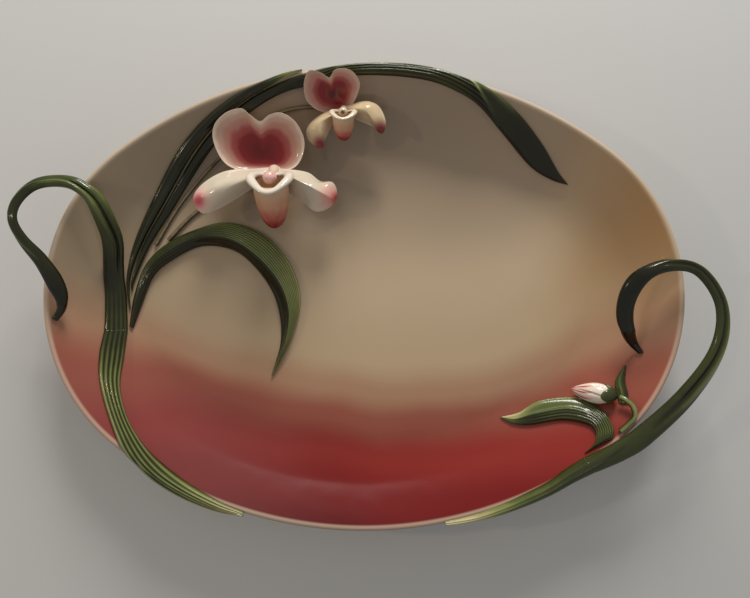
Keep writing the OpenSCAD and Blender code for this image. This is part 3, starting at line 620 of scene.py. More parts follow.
def rim_leaf_tint(u, t):
    """Dark stripes between green ribs, a pale rolled edge along the turn, dark beyond it, but
    lighter just past the turn and most at the outer edge there, a painted highlight.
    """
    line = turn_line(u)
    ribbed = ramp(t, line + 0.12, line - 0.04)
    green = 0.17 + 0.27 * ramp(t, 7.0, 9.2) * ramp(t, 13.6, 11.4)
    green = green + 0.22 * bump(u, 0.06, 0.07) * ramp(t, 7.6, 9.0)
    stripes = 0.34 * (1 - np.abs(np.sin(5 * np.pi * u)) ** 0.9) * ramp(t, 7.0, 9.5)
    edge = 0.45 * bump(t, line + 0.10, 0.13) * ramp(u, 0.85, 0.2)
    # Just past the turn the back is lighter, most at its outer edge: a painted highlight where the
    # blade turns over.
    beyond = 0.12 + 0.16 * ramp(t, 14.4, 13.2) + 0.20 * ramp(u, 0.25, 0.0) * ramp(t, 14.2, 13.4)
    return ribbed * (green - stripes) + (1 - ribbed) * beyond + edge


rim_leaf = blade("rim_leaf_blade", RIM_LEAF, rim_leaf_relief, rim_leaf_tint, across=64, along=18)
put_on(rim_leaf, leaf_glaze, "leaf_glaze", "rim_leaf")

# ---- The arching leaf ----------------------------------------------------------------------
# The broadest blade. It arches over into the dish and hangs down to a beige point. Its outer
# half is combed with fine ribs, and its inner half folds under in shadow, painted near-black.
ARCHING = np.array([
    [-183.4, -21, 0, -180.5, -23, 0, 2, 0],
    [-180, 2, 0, -173.5, -3, 0, 5, 0],
    [-171, 26.5, 0, -164.5, 18, 0, 6, 0],
    [-156, 42, 0, -149, 31, 0, 7, 0],
    [-133, 54, 0, -127, 41, 0, 8, 0],
    [-106, 60, 0, -103, 38, 0, 10, 0],
    [-78, 50, 0, -86, 25, 0, 10, 0],
    [-58, 27, 0, -72, 5, 0, 10, 0],
    [-50, 0, 0, -66, -16, 0, 9, 0],
    [-56, -28, 0, -66, -35, 0, 7, 0],
    [-67, -51, 0, -71, -53, 0, 4, 0],
    [-72, -60, 0, -73, -60, 0, 2, 0]], float)


def fold_line(t):
    """Where the crest of the fold runs across the leaf, nearer its inner edge at the middle."""
    return 0.50 + 0.16 * bump(t, 5.8, 1.6)


def arching_relief(u, t):
    """A crest along the fold, with the inner side falling away steeply, and nine fine ribs on
    the outer side that fade out towards root and tip."""
    crest = fold_line(t)
    inner = -3.4 * ramp(u, crest, crest + 0.30) * ramp(t, 2.5, 5.0) * ramp(t, 10.4, 8.6)
    outer = ramp(u, crest + 0.02, crest - 0.04)
    ribs = 0.75 * (np.abs(np.sin(9 * np.pi * u / crest)) - 0.5)
    share = ramp(t, 3.8, 5.0) * ramp(t, 9.6, 8.2)
    roots = 0.6 * (np.abs(np.sin(7 * np.pi * u)) - 0.5) * ramp(t, 1.2, 2.2) * ramp(t, 4.0, 2.8)
    return inner + outer * ribs * share + roots


def arching_tint(u, t):
    """Bright green over the ribs, dark between them, near-black inside the fold as painted shade
    where the inner half turns away from the light, beige at the tip and plain dark green at the
    root."""
    crest = fold_line(t)
    outer = ramp(u, crest + 0.03, crest - 0.03)
    ribs = np.abs(np.sin(9 * np.pi * u / crest)) ** 1.3
    share = ramp(t, 3.9, 5.2) * ramp(t, 10.2, 8.8)
    side = 0.26 + share * (0.12 + 0.34 * ribs) + 0.06 * bump(t, 7.0, 1.4)
    side = side + 0.14 * ramp(u, 0.12, 0.0) * ramp(t, 6, 8)
    # Painted shade: the near-black inside of the fold.
    fold = 0.14 + 0.10 * ramp(t, 7.0, 9.5)
    root = 0.10 * (np.abs(np.sin(7 * np.pi * u)) ** 1.5) * ramp(t, 1.0, 2.0) * ramp(t, 4.2, 3.0)
    return outer * side + (1 - outer) * fold + root + 0.42 * ramp(t, 8.9, 10.6)


arching = blade("arching_blade", ARCHING, arching_relief, arching_tint, across=120, along=20,
                power=2.2)
put_on(arching, leaf_glaze, "leaf_glaze", "arching_leaf")

# ---- The flower stalks ---------------------------------------------------------------------
# Thin rolled stalks laid on the wall, brown, with a lighter line where the glaze breaks over
# the top of the roll.
SMALL_STALK = np.array([
    [-163, 42, 0], [-143, 74, 0], [-113, 107, 0], [-75, 135, 0], [-46, 144, 0],
    [-19, 142, 0]], float)
BIG_STALK = np.array([[-153, 46, 0], [-132, 67, 0], [-104, 84, 0], [-74, 93, 0]], float)
STALK_END = 0.4


def resting(x, y, r):
    """Height of a round thing's axis over the dish it lies on: its radius, lengthened by the
    slope, which is the rise over a millimetre of run."""
    d = inset(x, y)
    steep = (inner_height(d) - inner_height(d + 1)).clip(0, 0.8)
    return (r + SLIP) * np.sqrt(1 + steep**2)


def hoops(axis, side, up, radius, w):
    """Rings round an axis: the axis plus the radius times cosine w to the side and sine w up."""
    spokes = np.cos(w)[:, None] * side[..., None, :] + np.sin(w)[:, None] * up[..., None, :]
    return axis[:, None] + radius[..., None] * spokes


def rolled(name, stations, radius, around=20, along=14):
    """A round roll along stations of x, y and lift. Its radius swells and thins a little along
    the way, and its paint is 1 along the top and 0 below."""
    t = np.linspace(0, len(stations) - 1, (len(stations) - 1) * along + 1)
    s = through(stations, t)
    lift = s[:, 2] + resting(s[:, 0], s[:, 1], radius)
    axis = np.stack([s[:, 0], s[:, 1], on_dish(s[:, 0], s[:, 1], lift, 0)], -1)
    way = unit(np.gradient(axis, axis=0))
    side = unit(np.cross(way, [0, 0, 1]))
    up = np.cross(side, way)
    w = np.linspace(0, 2 * np.pi, around + 1)[:-1]
    r = radius * (1 + 0.05 * np.sin(2.1 * t + 1) + 0.04 * np.sin(5.3 * t))[:, None]
    rings = hoops(axis, side, up, r, w)
    return closed_skin(name, rings, axis[0] - way[0] * STALK_END, axis[-1] + way[-1] * STALK_END,
                       tint=0.5 + 0.5 * np.sin(w))


stalk_glaze = new_glaze("stalk_brown_glaze", 0.2)
line = sum_of(stalk_glaze, "MULTIPLY_ADD", cloud(stalk_glaze, 160.0), 0.5, -0.25)
line = plus(stalk_glaze, line, paint_of(stalk_glaze, "tint"))
colour(stalk_glaze, shades(stalk_glaze, line, [
    (0.0, 0.030, 0.020, 0.010), (0.60, 0.070, 0.046, 0.024), (0.90, 0.13, 0.090, 0.050),
    (1.0, 0.24, 0.18, 0.10)]))
small_stalk = rolled("small_flower_stalk", SMALL_STALK, 1.3)
put_on(small_stalk, stalk_glaze, "stalk_glaze", "small_orchid_stalk")
big_stalk = rolled("big_flower_stalk", BIG_STALK, 1.5)
put_on(big_stalk, stalk_glaze, "stalk_glaze", "big_orchid_stalk")

# ---- The big orchid's post and column ------------------------------------------------------
# A short pin of clay joins the flower to the wall. Its neck leans forward and ends in a round
# pink button with two folds, which sits over the mouth of the pouch.
BIG = np.array([-67.0, 95.0])
BIG_ROOT_Z = 31.0
BIG_MOUTH = np.array([-67.0, 84.0, 50.0])


def pin_and_button(name, foot, r, top_z, tip, button_r):
    """A pin whose axis is a smooth curve up from the dish and forward to the button. Its radius
    narrows to the neck and then swells as the root of a circle's ordinate into the button."""
    base_z = float(inner_height(inset(foot[0], foot[1]))) - 0.5 * r
    bend = 0.5 * (np.array([*foot, top_z]) + tip) - [0, 0, 1]
    path = np.array([[*foot, base_z], [*foot, 0.5 * (base_z + top_z)], [*foot, top_z - r], bend,
                     [tip[0], tip[1], tip[2] + button_r]])
    t = np.concatenate([np.linspace(0, 3, 30)[:-1], 3 + np.sin(np.linspace(0, np.pi / 2, 26))])
    axis = through(path, t)
    way = unit(np.gradient(axis, axis=0))
    side = unit(np.cross(way, [0, 0, 1.0]) + np.array([1e-3, 0, 0]))
    side = np.where(side[:, :1] < 0, -side, side)
    up = np.cross(side, way)
    reach = np.linalg.norm(axis - np.array(tip), axis=1)
    ball = button_r * np.sqrt(np.clip(1 - (reach / (1.001 * button_r)) ** 2, 0, 1))
    neck = r * (1 - 0.42 * ramp(t, 1.6, 2.8)) * ramp(t, 4.0, 3.1)
    w = np.linspace(0, 2 * np.pi, 37)[:-1]
    folds = 1 + 0.04 * np.cos(2 * w) * ramp(t, 3.0, 3.6)[:, None]
    rings = hoops(axis, side, up, np.maximum(ball, neck)[:, None] * folds, w)
    return closed_skin(name, rings[1:-1], axis[0], axis[-1], tint=ramp(t, 2.2, 3.6)[1:-1, None])


pink_glaze = new_glaze("button_pink_glaze")
veins = spread(pink_glaze, cloud(pink_glaze, 260.0, 3.0), 0.45, 0.62)
pinks = spray(pink_glaze, (0.80, 0.50, 0.44, 1), (0.62, 0.16, 0.17, 1), 0.6, veins)
colour(pink_glaze, over(pink_glaze, paint_of(pink_glaze, "tint"), (0.72, 0.60, 0.45, 1), pinks))
big_post = pin_and_button("big_orchid_button", BIG, 5.0, BIG_ROOT_Z + 9,
                          [BIG_MOUTH[0], BIG_MOUTH[1] + 0.5, BIG_MOUTH[2] + 2.0], 5.4)
put_on(big_post, pink_glaze, "column_glaze", "big_orchid_post")

# ---- The big orchid's hood -----------------------------------------------------------------
# The broad back petal, pressed thin at its edge and pinched into two lobes. Crimson is sprayed
# into its heart and fades through pink to a cream border with a bare bright rim.
BIG_HOOD = np.array([
    [0, 0], [14, 2], [21, 10], [23, 22], [17, 34], [7, 40], [-1, 39], [-9, 35],
    [-16, 39], [-22, 43], [-33, 40], [-42, 32], [-44, 22], [-39, 9], [-30, 2], [-14, 0]], float)


def closed_curve(points, t):
    """The same smooth curve as through(), closed on itself."""
    n = len(points)
    i = np.floor(t).astype(int) % n
    near = (points[(i + k) % n] for k in (-1, 0, 1, 2))
    return cubic(*near, (t - np.floor(t))[:, None])


def petal(name, foot, outline, heart, z, rise, lean, form, thick=3.0, edge=1.4,
          spokes=150, steps=34, ruffle=0.0):
    """A modelled petal. Each spoke runs straight from the heart to the outline, and the height
    is z, plus rise times the square of the share s out along the spoke, plus the lean in X and
    Y, plus form(px, py, s). The edge is rounded over, and ruffle waves it."""
    k = np.linspace(0, len(outline), spokes + 1)[:-1]
    rim = closed_curve(outline, k)
    s = np.sin(np.linspace(0.02, 1, steps) * np.pi / 2)[:, None]
    px = heart[0] + (rim[:, 0] - heart[0]) * s
    py = heart[1] + (rim[:, 1] - heart[1]) * s
    low = z + rise * s**2 + lean[0] * px + lean[1] * py + form(px, py, s)
    low = low + ruffle * s**4 * np.sin(k * 2 * np.pi * 5 / len(outline))
    body = (edge + (thick - edge) * (1 - s**2)) * np.sqrt(np.clip(1 - s**12, 0, 1))
    middle = low + edge / 2
    x, y = foot[0] + px, foot[1] + py
    top = np.stack([x, y, middle + body / 2 + (thick - edge) * (1 - s**2) / 2], -1)
    under = np.stack([x, y, middle - np.minimum(body, edge) / 2], -1)
    rings = np.concatenate([top, under[::-1][1:]], 0)
    share = np.concatenate([s, s[::-1][1:]], 0)
    return closed_skin(name, rings, top[0].mean(0), under[0].mean(0), share=share)


def big_hood_form(px, py, s):
    """Two lobes swell either side of a crease that runs down from the notch, and the very rim
    turns up."""
    crease = -2.6 * bump(px + 9 + 0.10 * (35 - py), 0, 3.2) * ramp(py, 10, 26)
    lobes = 1.6 * (bump(px, 6, 10) + bump(px, -28, 11)) * bump(py, 22, 14)
    return crease + lobes * (1 - s**2) + 1.5 * ramp(s, 0.86, 1.0) - 3.0 * (1 - s**2)


def crimson_hearted(name, lo, hi, deep):
    """Glaze for the hoods: crimson in the heart, pink round it, cream border, bright rim. The
    share runs from 0 at the heart to 1 at the edge."""
    glaze = new_glaze(name)
    wander = sum_of(glaze, "MULTIPLY_ADD", cloud(glaze, 90.0, 3.0), 0.16, -0.08)
    share = plus(glaze, paint_of(glaze, "share"), wander)
    share = node(glaze, "MapRange", {0: share, 1: lo, 2: hi}).outputs[0]
    return colour(glaze, shades(glaze, share, [
        (0.00, *deep), (0.44, 0.23, 0.014, 0.016), (0.58, 0.36, 0.070, 0.062),
        (0.72, 0.52, 0.24, 0.19), (0.88, 0.60, 0.40, 0.31), (0.97, 0.76, 0.60, 0.48)]))


big_hood_glaze = crimson_hearted("big_hood_glaze", 0.05, 1.0, (0.16, 0.008, 0.012))
big_hood = petal("big_orchid_hood_petal", BIG, BIG_HOOD, [-9, 13], BIG_ROOT_Z - 6, 6, [0, 0.3],
                 big_hood_form, ruffle=0.5)
put_on(big_hood, big_hood_glaze, "crimson_glaze", "big_orchid_hood")

# ---- The big orchid's side petals ----------------------------------------------------------
# Two thick tongues of clay, rounded along the middle and turned down at their ends. They are
# cream white, with a pink spot on the left tip and crimson rubbed into the right one.
BIG_LEFT_PETAL = np.array([
    [2, 3], [-16, 2], [-35, 0], [-50, -8], [-58, -17], [-58, -26], [-51, -32], [-38, -27],
    [-18, -14], [-3, -4]], float)
BIG_RIGHT_PETAL = np.array([
    [-2, 3], [3, -4], [9, -14], [20, -22], [31, -30], [42, -27], [47, -18], [44, -9], [34, -7],
    [25, -1], [9, 2]], float)


def left_petal_form(px, py, s):
    """A long swell down the middle of the tongue, highest above its centre line, and a dimple
    before the tip."""
    swell = 4.2 * bump(py - 0.36 * px, -0.5, 9) * (1 - s**3)
    return swell - 1.2 * bump(px, -46, 5) * bump(py, -16, 6) - 2.0


def right_petal_form(px, py, s):
    """A sharp fold from the root to the tip with the lower side falling away, and a pinch in
    the upper edge near the end."""
    across = py + 0.52 * px
    fold = 4.4 * np.exp(-np.abs(across - 1.0) / 7.5)
    return fold * (1 - s**4) - 2.4 * bump(px, 36, 4.0) * bump(py, -8, 5) - 2.2


def spot_on(glaze, centre, reach):
    """1 at a centre given in millimetres, fading to 0 at reach."""
    x, y, z = place_of(glaze)
    dx = sum_of(glaze, "MULTIPLY_ADD", x, 1000.0, -centre[0])
    dy = sum_of(glaze, "MULTIPLY_ADD", y, 1000.0, -centre[1])
    far = sum_of(glaze, "SQRT", plus(glaze, times(glaze, dx, dx),
                                       times(glaze, dy, dy)))
    return spread(glaze, far, reach, reach * 0.15)


def edged(glaze, scale, dull, bright, start, most, rim):
    """Two tones mixed by a cloud, and over them a bright rim, from nothing at a share of start
    to most at the edge."""
    share = spread(glaze, paint_of(glaze, "share"), start, 1.0)
    mixed = over(glaze, cloud(glaze, scale), dull, bright)
    return spray(glaze, mixed, rim, most, share)


petal_glaze = new_glaze("petal_cream_glaze")
cream = edged(petal_glaze, 70.0, (0.62, 0.53, 0.39, 1), (0.72, 0.64, 0.51, 1),
              0.80, 0.6, (0.82, 0.75, 0.66, 1))
# A pink halo and a crimson heart on each tip.
tip_spots = [((-122, 72), 15, (0.80, 0.42, 0.38, 1)), ((-121, 72), 7, (0.62, 0.10, 0.12, 1)),
             ((-22, 74), 16, (0.74, 0.34, 0.28, 1)), ((-19, 74), 7.5, (0.48, 0.035, 0.045, 1))]
for centre, far, tone in tip_spots:
    cream = over(petal_glaze, spot_on(petal_glaze, centre, far), cream, tone)
colour(petal_glaze, cream)
left_petal = petal("big_orchid_left_tongue", BIG, BIG_LEFT_PETAL, [-31, -14], BIG_ROOT_Z + 6, -4,
                   [-0.1, 0], left_petal_form, thick=4.5, edge=2.0, ruffle=0.3)
put_on(left_petal, petal_glaze, "petal_glaze", "big_orchid_left_petal")
right_petal = petal("big_orchid_right_tongue", BIG, BIG_RIGHT_PETAL, [25, -13], BIG_ROOT_Z + 6, -4,
                    [0.1, 0], right_petal_form, thick=4.5, edge=2.0, ruffle=0.4)
put_on(right_petal, petal_glaze, "petal_glaze", "big_orchid_right_petal")

# ---- The big orchid's pouch and its collar --------------------------------------------------
# The slipper is a hollow thimble thrown on a finger. Its mouth faces up, and a white rolled
# collar drawn down to a point stands round it.
POUCH_TIP = math.radians(-55)


def tipped(points, mouth):
    """Points turned about X by the angle the pouch hangs at, and moved to its mouth."""
    c, s = math.cos(POUCH_TIP), math.sin(POUCH_TIP)
    return points @ np.array([[1, 0, 0], [0, c, s], [0, -s, c]]) + mouth


def thimble(name, mouth, mouth_r, length, wall, around=64):
    """A pouch: rings of the radius mouth_r times (1 - 0.12 s) times the root of 1 - s to the
    3.4, at depth s times the length, down the outside and back up the inside. They are 0.94 as
    deep as wide, and a shallow groove runs down the front."""
    s = np.sin(np.linspace(0.0, 0.995, 30) * np.pi / 2)
    w = np.linspace(0, 2 * np.pi, around + 1)[:-1]

    def half(r0, l0):
        """One face of the pouch."""
        r = r0 * (1 - 0.12 * s) * np.sqrt(np.clip(1 - s**3.4, 0, 1))
        r = r[:, None] * (1 - 0.05 * bump(np.cos(w - np.pi / 2), 1, 0.12))
        down = np.broadcast_to(-l0 * s[:, None], r.shape)
        return np.stack([r * np.cos(w), 0.94 * r * np.sin(w), down], -1)

    rings = np.concatenate([half(mouth_r, length)[::-1], half(mouth_r - wall, length - wall)], 0)
    toe = tipped(np.array([0, 0, -length]), mouth)
    well = tipped(np.array([0, 0, wall - length]), mouth)
    depth = np.concatenate([s[::-1], np.zeros_like(s)])[:, None]
    return closed_skin(name, tipped(rings, mouth), toe, well, depth=depth)


def drawn_collar(name, mouth, mouth_r, height, point, around=96):
    """A rolled rim round the mouth: a small round section carried round a ring whose radius
    grows towards the front, where it is drawn down to a point."""
    w = np.linspace(0, 2 * np.pi, around + 1)[:-1]
    v = np.linspace(0, 2 * np.pi, 17)[:-1][:, None]
    front = bump(np.angle(np.exp(1j * (w + np.pi / 2))), 0, 0.55)
    r = mouth_r * (1.02 + point * front + 0.05 * np.cos(2 * w))
    thick = height * (0.50 + 0.16 * np.cos(2 * w) + 0.10 * front)
    wide = 1.25 * height * (0.55 + 0.10 * np.cos(w) ** 2)
    ring_r = r + wide * np.cos(v)
    sag = 0.12 * mouth_r * np.cos(2 * w) - 0.5 * point * mouth_r * front
    ring_z = 0.45 * height + sag + thick * np.sin(v)
    rings = np.stack([ring_r * np.cos(w), ring_r * np.sin(w), ring_z], -1)
    return hoop_skin(name, tipped(rings, mouth), share=1.0)


pouch_glaze = new_glaze("pouch_rose_glaze")
deep = sum_of(pouch_glaze, "MULTIPLY_ADD", cloud(pouch_glaze, 120.0, 3.0), 0.14, -0.07)
deep = plus(pouch_glaze, deep, paint_of(pouch_glaze, "depth"))
colour(pouch_glaze, shades(pouch_glaze, deep, [
    (0.05, 0.70, 0.50, 0.32), (0.40, 0.62, 0.33, 0.20), (0.66, 0.50, 0.14, 0.10),
    (0.82, 0.34, 0.030, 0.035), (1.0, 0.20, 0.010, 0.014)]))
big_pouch = thimble("big_orchid_slipper", BIG_MOUTH, 13.0, 37.0, 2.0)
put_on(big_pouch, pouch_glaze, "pouch_glaze", "big_orchid_pouch")
big_collar = drawn_collar("big_orchid_drawn_collar", BIG_MOUTH, 12.8, 4.2, 0.22)
put_on(big_collar, petal_glaze, "petal_glaze", "big_orchid_collar")

# ---- The small orchid ----------------------------------------------------------------------
# The same flower at half the size, against the top rim: its hood is rolled back white at the
# upper left, its petals are ochre with dark red tips, and its button has a brown eye.
SMALL = np.array([-15.0, 140.0])
SMALL_ROOT_Z = 34.0
SMALL_MOUTH = np.array([-15.0, 133.0, 46.0])
SMALL_HOOD = np.array([
    [0, -1], [6, 4], [10, 10], [12, 17], [7, 23], [0, 25], [-6, 24], [-10, 20], [-16, 22],
    [-24, 23], [-28, 18], [-29, 12], [-27, 6], [-20, 1], [-10, -1]], float)
SMALL_LEFT_PETAL = np.array([
    [2, 2], [-8, 1], [-19, -4], [-27, -12], [-27, -21], [-17, -29], [-14, -22], [-9, -11],
    [-2, -3]], float)
SMALL_RIGHT_PETAL = np.array([
    [-2, 2], [2, -3], [9, -7], [20, -12], [28, -18], [31, -10], [27, 1], [20, 6], [11, 6]], float)


def small_hood_form(px, py, s):
    """One crease under the notch, and a lip rolled up and back along the upper left edge."""
    crease = -1.4 * bump(px + 10, 0, 2.2) * ramp(py, 6, 16)
    roll = 3.0 * ramp(s, 0.72, 1.0) * bump(px, -20, 8) * ramp(py, 12, 20)
    return crease + roll + 0.8 * ramp(s, 0.86, 1.0) - 1.2 * (1 - s**2)


def small_tongue_form(px, py, s):
    """A plain swell along the middle."""
    return 2.4 * (1 - s**2) - 1.2


small_hood_glaze = crimson_hearted("small_hood_glaze", 0.0, 1.08, (0.10, 0.006, 0.008))
small_hood = petal("small_orchid_hood_petal", SMALL, SMALL_HOOD, [-7, 11], SMALL_ROOT_Z - 6.5, 2,
                   [0, 0.82], small_hood_form, thick=2.4, edge=1.3, spokes=110, steps=26,
                   ruffle=0.3)
put_on(small_hood, small_hood_glaze, "crimson_glaze", "small_orchid_hood")

ochre_glaze = new_glaze("small_petal_ochre_glaze")
ochres = edged(ochre_glaze, 110.0, (0.58, 0.42, 0.24, 1), (0.70, 0.56, 0.36, 1),
               0.82, 0.7, (0.80, 0.70, 0.56, 1))
for centre, far in [((-33, 114), 9), ((13, 124), 11)]:
    ochres = over(ochre_glaze, spot_on(ochre_glaze, centre, far), ochres, (0.22, 0.022, 0.026, 1))
colour(ochre_glaze, ochres)
small_left = petal("small_orchid_left_tongue", SMALL, SMALL_LEFT_PETAL, [-17, -11],
                   SMALL_ROOT_Z + 3.5, -3, [0, 0], small_tongue_form, thick=3.2, edge=1.6,
                   spokes=100, steps=24)
put_on(small_left, ochre_glaze, "petal_glaze", "small_orchid_left_petal")
small_right = petal("small_orchid_right_tongue", SMALL, SMALL_RIGHT_PETAL, [16, -2],
                    SMALL_ROOT_Z + 3.5, -3, [0.1, 0], small_tongue_form, thick=3.2, edge=1.6,
                    spokes=100, steps=24)
put_on(small_right, ochre_glaze, "petal_glaze", "small_orchid_right_petal")
small_post = pin_and_button("small_orchid_button", SMALL, 3.4, SMALL_ROOT_Z + 6,
                            [SMALL_MOUTH[0], SMALL_MOUTH[1] + 0.4, SMALL_MOUTH[2] + 2.0], 3.6)
eye_glaze = new_glaze("small_button_glaze")
eye = spot_on(eye_glaze, (-15, 133.4), 2.6)
colour(eye_glaze, over(eye_glaze, eye, (0.66, 0.54, 0.38, 1), (0.16, 0.045, 0.020, 1)))
put_on(small_post, eye_glaze, "column_glaze", "small_orchid_post")
small_pouch = thimble("small_orchid_slipper", SMALL_MOUTH, 8.0, 19.0, 2.0, around=48)
put_on(small_pouch, pouch_glaze, "pouch_glaze", "small_orchid_pouch")
small_collar = drawn_collar("small_orchid_collar_roll", SMALL_MOUTH, 7.6, 2.6, 0.08, around=64)
put_on(small_collar, ochre_glaze, "petal_glaze", "small_orchid_collar")

# ---- The right stem and handle leaf --------------------------------------------------------
# The stem comes up pale from the bottom rim and swells into a strap that springs clear of the
# dish, loops round as the right handle, and lays its dark end back on the wall.
RIGHT_STEM = np.array([
    [59, -162, 0.3, 60, -165, 0.3, 1.6, 0],
    [80, -157, 0.3, 81, -162, 0.3, 3, 0],
    [99, -150, 0.2, 101, -157, 0.3, 4, 0],
    [115, -143, 0.2, 118, -151, 0.3, 4.5, 0],
    [133, -134, 0.2, 137, -143, 0.3, 5, 0],
    [148, -124, 0.2, 154, -134, 0.3, 5, 0],
    [160.9, -116.06, 0, 168.9, -127.06, 0, 5, 0]], float)
RIGHT_HANDLE = np.array([
    [161, -116, 0, 169, -127, 0, 5, 0],
    [180, -105, 2, 190, -116.5, 2, 5, 0.5],
    [197, -93, 3, 208, -104, 3, 5, 1],
    [226, -66, 5, 238, -73, 5, 5, 1],
    [246, -35, 10, 257, -38, 7, 5, 1],
    [248, -6, 14, 256, -6, 8, 5, 1],
    [234, 16, 15, 240, 19, 9, 5, 1],
    [216, 19, 15, 216, 27, 9, 5, 1],
    [203, 12, 9, 193, 19, 7, 5, 1],
    [197, -4, 0, 184, 0, 2, 4.5, 1],
    [200, -22, -6, 188, -22, -4, 4, 1],
    [209.5, -39.5, 0, 206.5, -41, 0, 2, 0]], float)


def right_stem_relief(u, t):
    """Three low ribs, deeper towards the root."""
    ribs = (0.7 * np.abs(np.sin(3 * np.pi * u)) - 0.35) * (0.5 + 0.5 * ramp(t, 5.5, 2.0))
    return ribs * ramp(t, 6.0, 4.8) + 0.5 * bump(u, 0.5, 0.3) * ramp(t, 4.8, 6.0)


def right_stem_tint(u, t):
    """Pale yellow green at the root end, deepening to olive where the handle springs."""
    hollows = (1 - np.abs(np.sin(3 * np.pi * u))) * ramp(t, 6.0, 4.6)
    return 0.98 - 0.42 * ramp(t, 0.6, 3.4) - 0.22 * ramp(t, 3.0, 6.0) - 0.14 * hollows


def right_handle_relief(u, t):
    """A groove and a ridge side by side up the outer run of the loop, and a smooth crown on the
    blade that comes back."""
    run = ramp(t, 2.0, 3.2) * ramp(t, 7.6, 6.4)
    return run * (1.5 * bump(u, 0.62, 0.12) - 1.5 * bump(u, 0.40, 0.12)) + 0.5 * bump(u, 0.5, 0.3)


def right_handle_tint(u, t):
    """Olive up the run with a lighter line along the ridge, near-black on the way back."""
    run = ramp(t, 2.0, 3.2) * ramp(t, 7.6, 6.4)
    lines = run * (0.26 * bump(u, 0.62, 0.10) - 0.18 * bump(u, 0.40, 0.12))
    return 0.34 - 0.06 * ramp(t, 1, 3) + lines - 0.22 * ramp(t, 6.6, 8.2) + 0.10 * bump(t, 4.2, 1.0)


right_stem = blade("right_rising_stem", RIGHT_STEM, right_stem_relief, right_stem_tint, across=44)
put_on(right_stem, leaf_glaze, "stem_glaze", "right_stem")
right_handle = blade("right_handle_strap", RIGHT_HANDLE, right_handle_relief, right_handle_tint,
                     across=48, along=18)
put_on(right_handle, leaf_glaze, "leaf_glaze", "right_handle_leaf")

# ---- The small right leaf ------------------------------------------------------------------
# A short leaf that leaves the right stem, bends over to the left and shows its beige back. The
# folded lower side is combed with dark lines.
SMALL_LEAF = np.array([
    [162, -113.8, 0, 178, -104.6, 0, 2.5, 0],
    [169.5, -107, 0, 183, -101.3, 0, 5, 0],
    [172, -99.5, 0, 183.8, -94, 0, 6, 0],
    [167.5, -94.5, 0, 178.5, -83.5, 0, 6, 0],
    [151, -93, 0, 163, -76.5, 0, 6, 0],
    [128, -97.5, 0, 136, -79.5, 0, 5, 0],
    [115, -97, 0, 120, -88.5, 0, 3.5, 0],
    [106, -92.5, 0, 107, -92, 0, 1.6, 0]], float)


def small_leaf_relief(u, t):
    """Combed ribs over the bend and along the lower side, and a crest where the back begins."""
    low = ramp(u, 0.42, 0.30) + ramp(t, 3.6, 2.6) * ramp(u, 0.30, 0.42)
    ribs = 0.8 * (np.abs(np.sin(8 * np.pi * u)) - 0.5) * ramp(t, 0.6, 1.4) * ramp(t, 5.6, 4.4)
    return low * ribs + 1.0 * bump(u, 0.42, 0.10) * ramp(t, 2.6, 3.6) * ramp(t, 6.5, 5.5)


def small_leaf_tint(u, t):
    """Olive root, dark combed fold, beige green back and pale tip."""
    back = ramp(t, 2.6, 4.0) * ramp(u, 0.36, 0.48)
    ribs = 0.30 * np.abs(np.sin(8 * np.pi * u)) ** 1.5 * ramp(t, 0.8, 1.8) * ramp(t, 5.4, 4.2)
    fold = 0.34 - 0.16 * ramp(t, 1.0, 3.0) + ribs
    return (1 - back) * fold + back * (0.52 + 0.10 * ramp(u, 0.6, 0.9)) + 0.34 * ramp(t, 4.6, 6.4)


small_leaf = blade("small_bent_leaf", SMALL_LEAF, small_leaf_relief, small_leaf_tint, across=70,
                   along=18)
put_on(small_leaf, leaf_glaze, "leaf_glaze", "right_small_leaf")

# ---- The bud on its stalk ------------------------------------------------------------------
# A closed flower, white with crimson drawn back from its tip in streaks, held in an olive
# calyx. A thin stalk curves up to it, and one narrow bract stands behind.
BUD_STALK = np.array([
    [187, -96.5, 0], [192, -91.5, 1], [196.5, -85.5, 3], [196, -78.5, 5], [192, -74, 6.8],
    [188.5, -72, 7.6]], float)
BUD_BRACT = np.array([
    [190.5, -78, 0, 196, -78, 0, 1.6, 0],
    [190, -70, 0, 197, -71, 0, 2.4, 0],
    [190.5, -62, 0, 196.5, -62, 0, 2.4, 0],
    [197.5, -50.5, 0, 198.5, -51, 0, 1.6, 0]], float)
BUD_L, BUD_R, CALYX_T, CALYX_SHARE = 33.0, 8.2, 1.3, 0.22


def bud_point(x, y, r):
    """A point on the bud's axis, which lies along the wall."""
    return np.array([x, y, float(on_dish(x, y, resting(np.float64(x), np.float64(y), r), 0))])


bud_foot = bud_point(186, -71.5, BUD_R)
bud_tip = bud_point(158, -69.5, 0.65 * BUD_R)
bud_way = unit(bud_tip - bud_foot)
bud_side = unit(np.cross(bud_way, [0, 0, 1.0]))
bud_up = np.cross(bud_side, bud_way)


def bud_radius(s):
    """The bud's radius at a share s from foot to tip: the sine of a half turn, warped towards
    the foot and flattened, less a little towards the tip."""
    return BUD_R * np.sin(np.pi * np.clip(s, 0, 1) ** 0.82) ** 0.72 * (1 - 0.12 * s)


def about_bud(along, radius, w):
    """Points round the bud's axis at a distance along it."""
    spokes = np.cos(w)[:, None] * bud_side + np.sin(w)[:, None] * bud_up
    return bud_foot + bud_way * along[..., None] + radius[..., None] * spokes


bud_s = 0.5 - 0.5 * np.cos(np.linspace(0.03, 0.985, 60) * np.pi)
bud_w = np.linspace(0, 2 * np.pi, 97)[:-1]
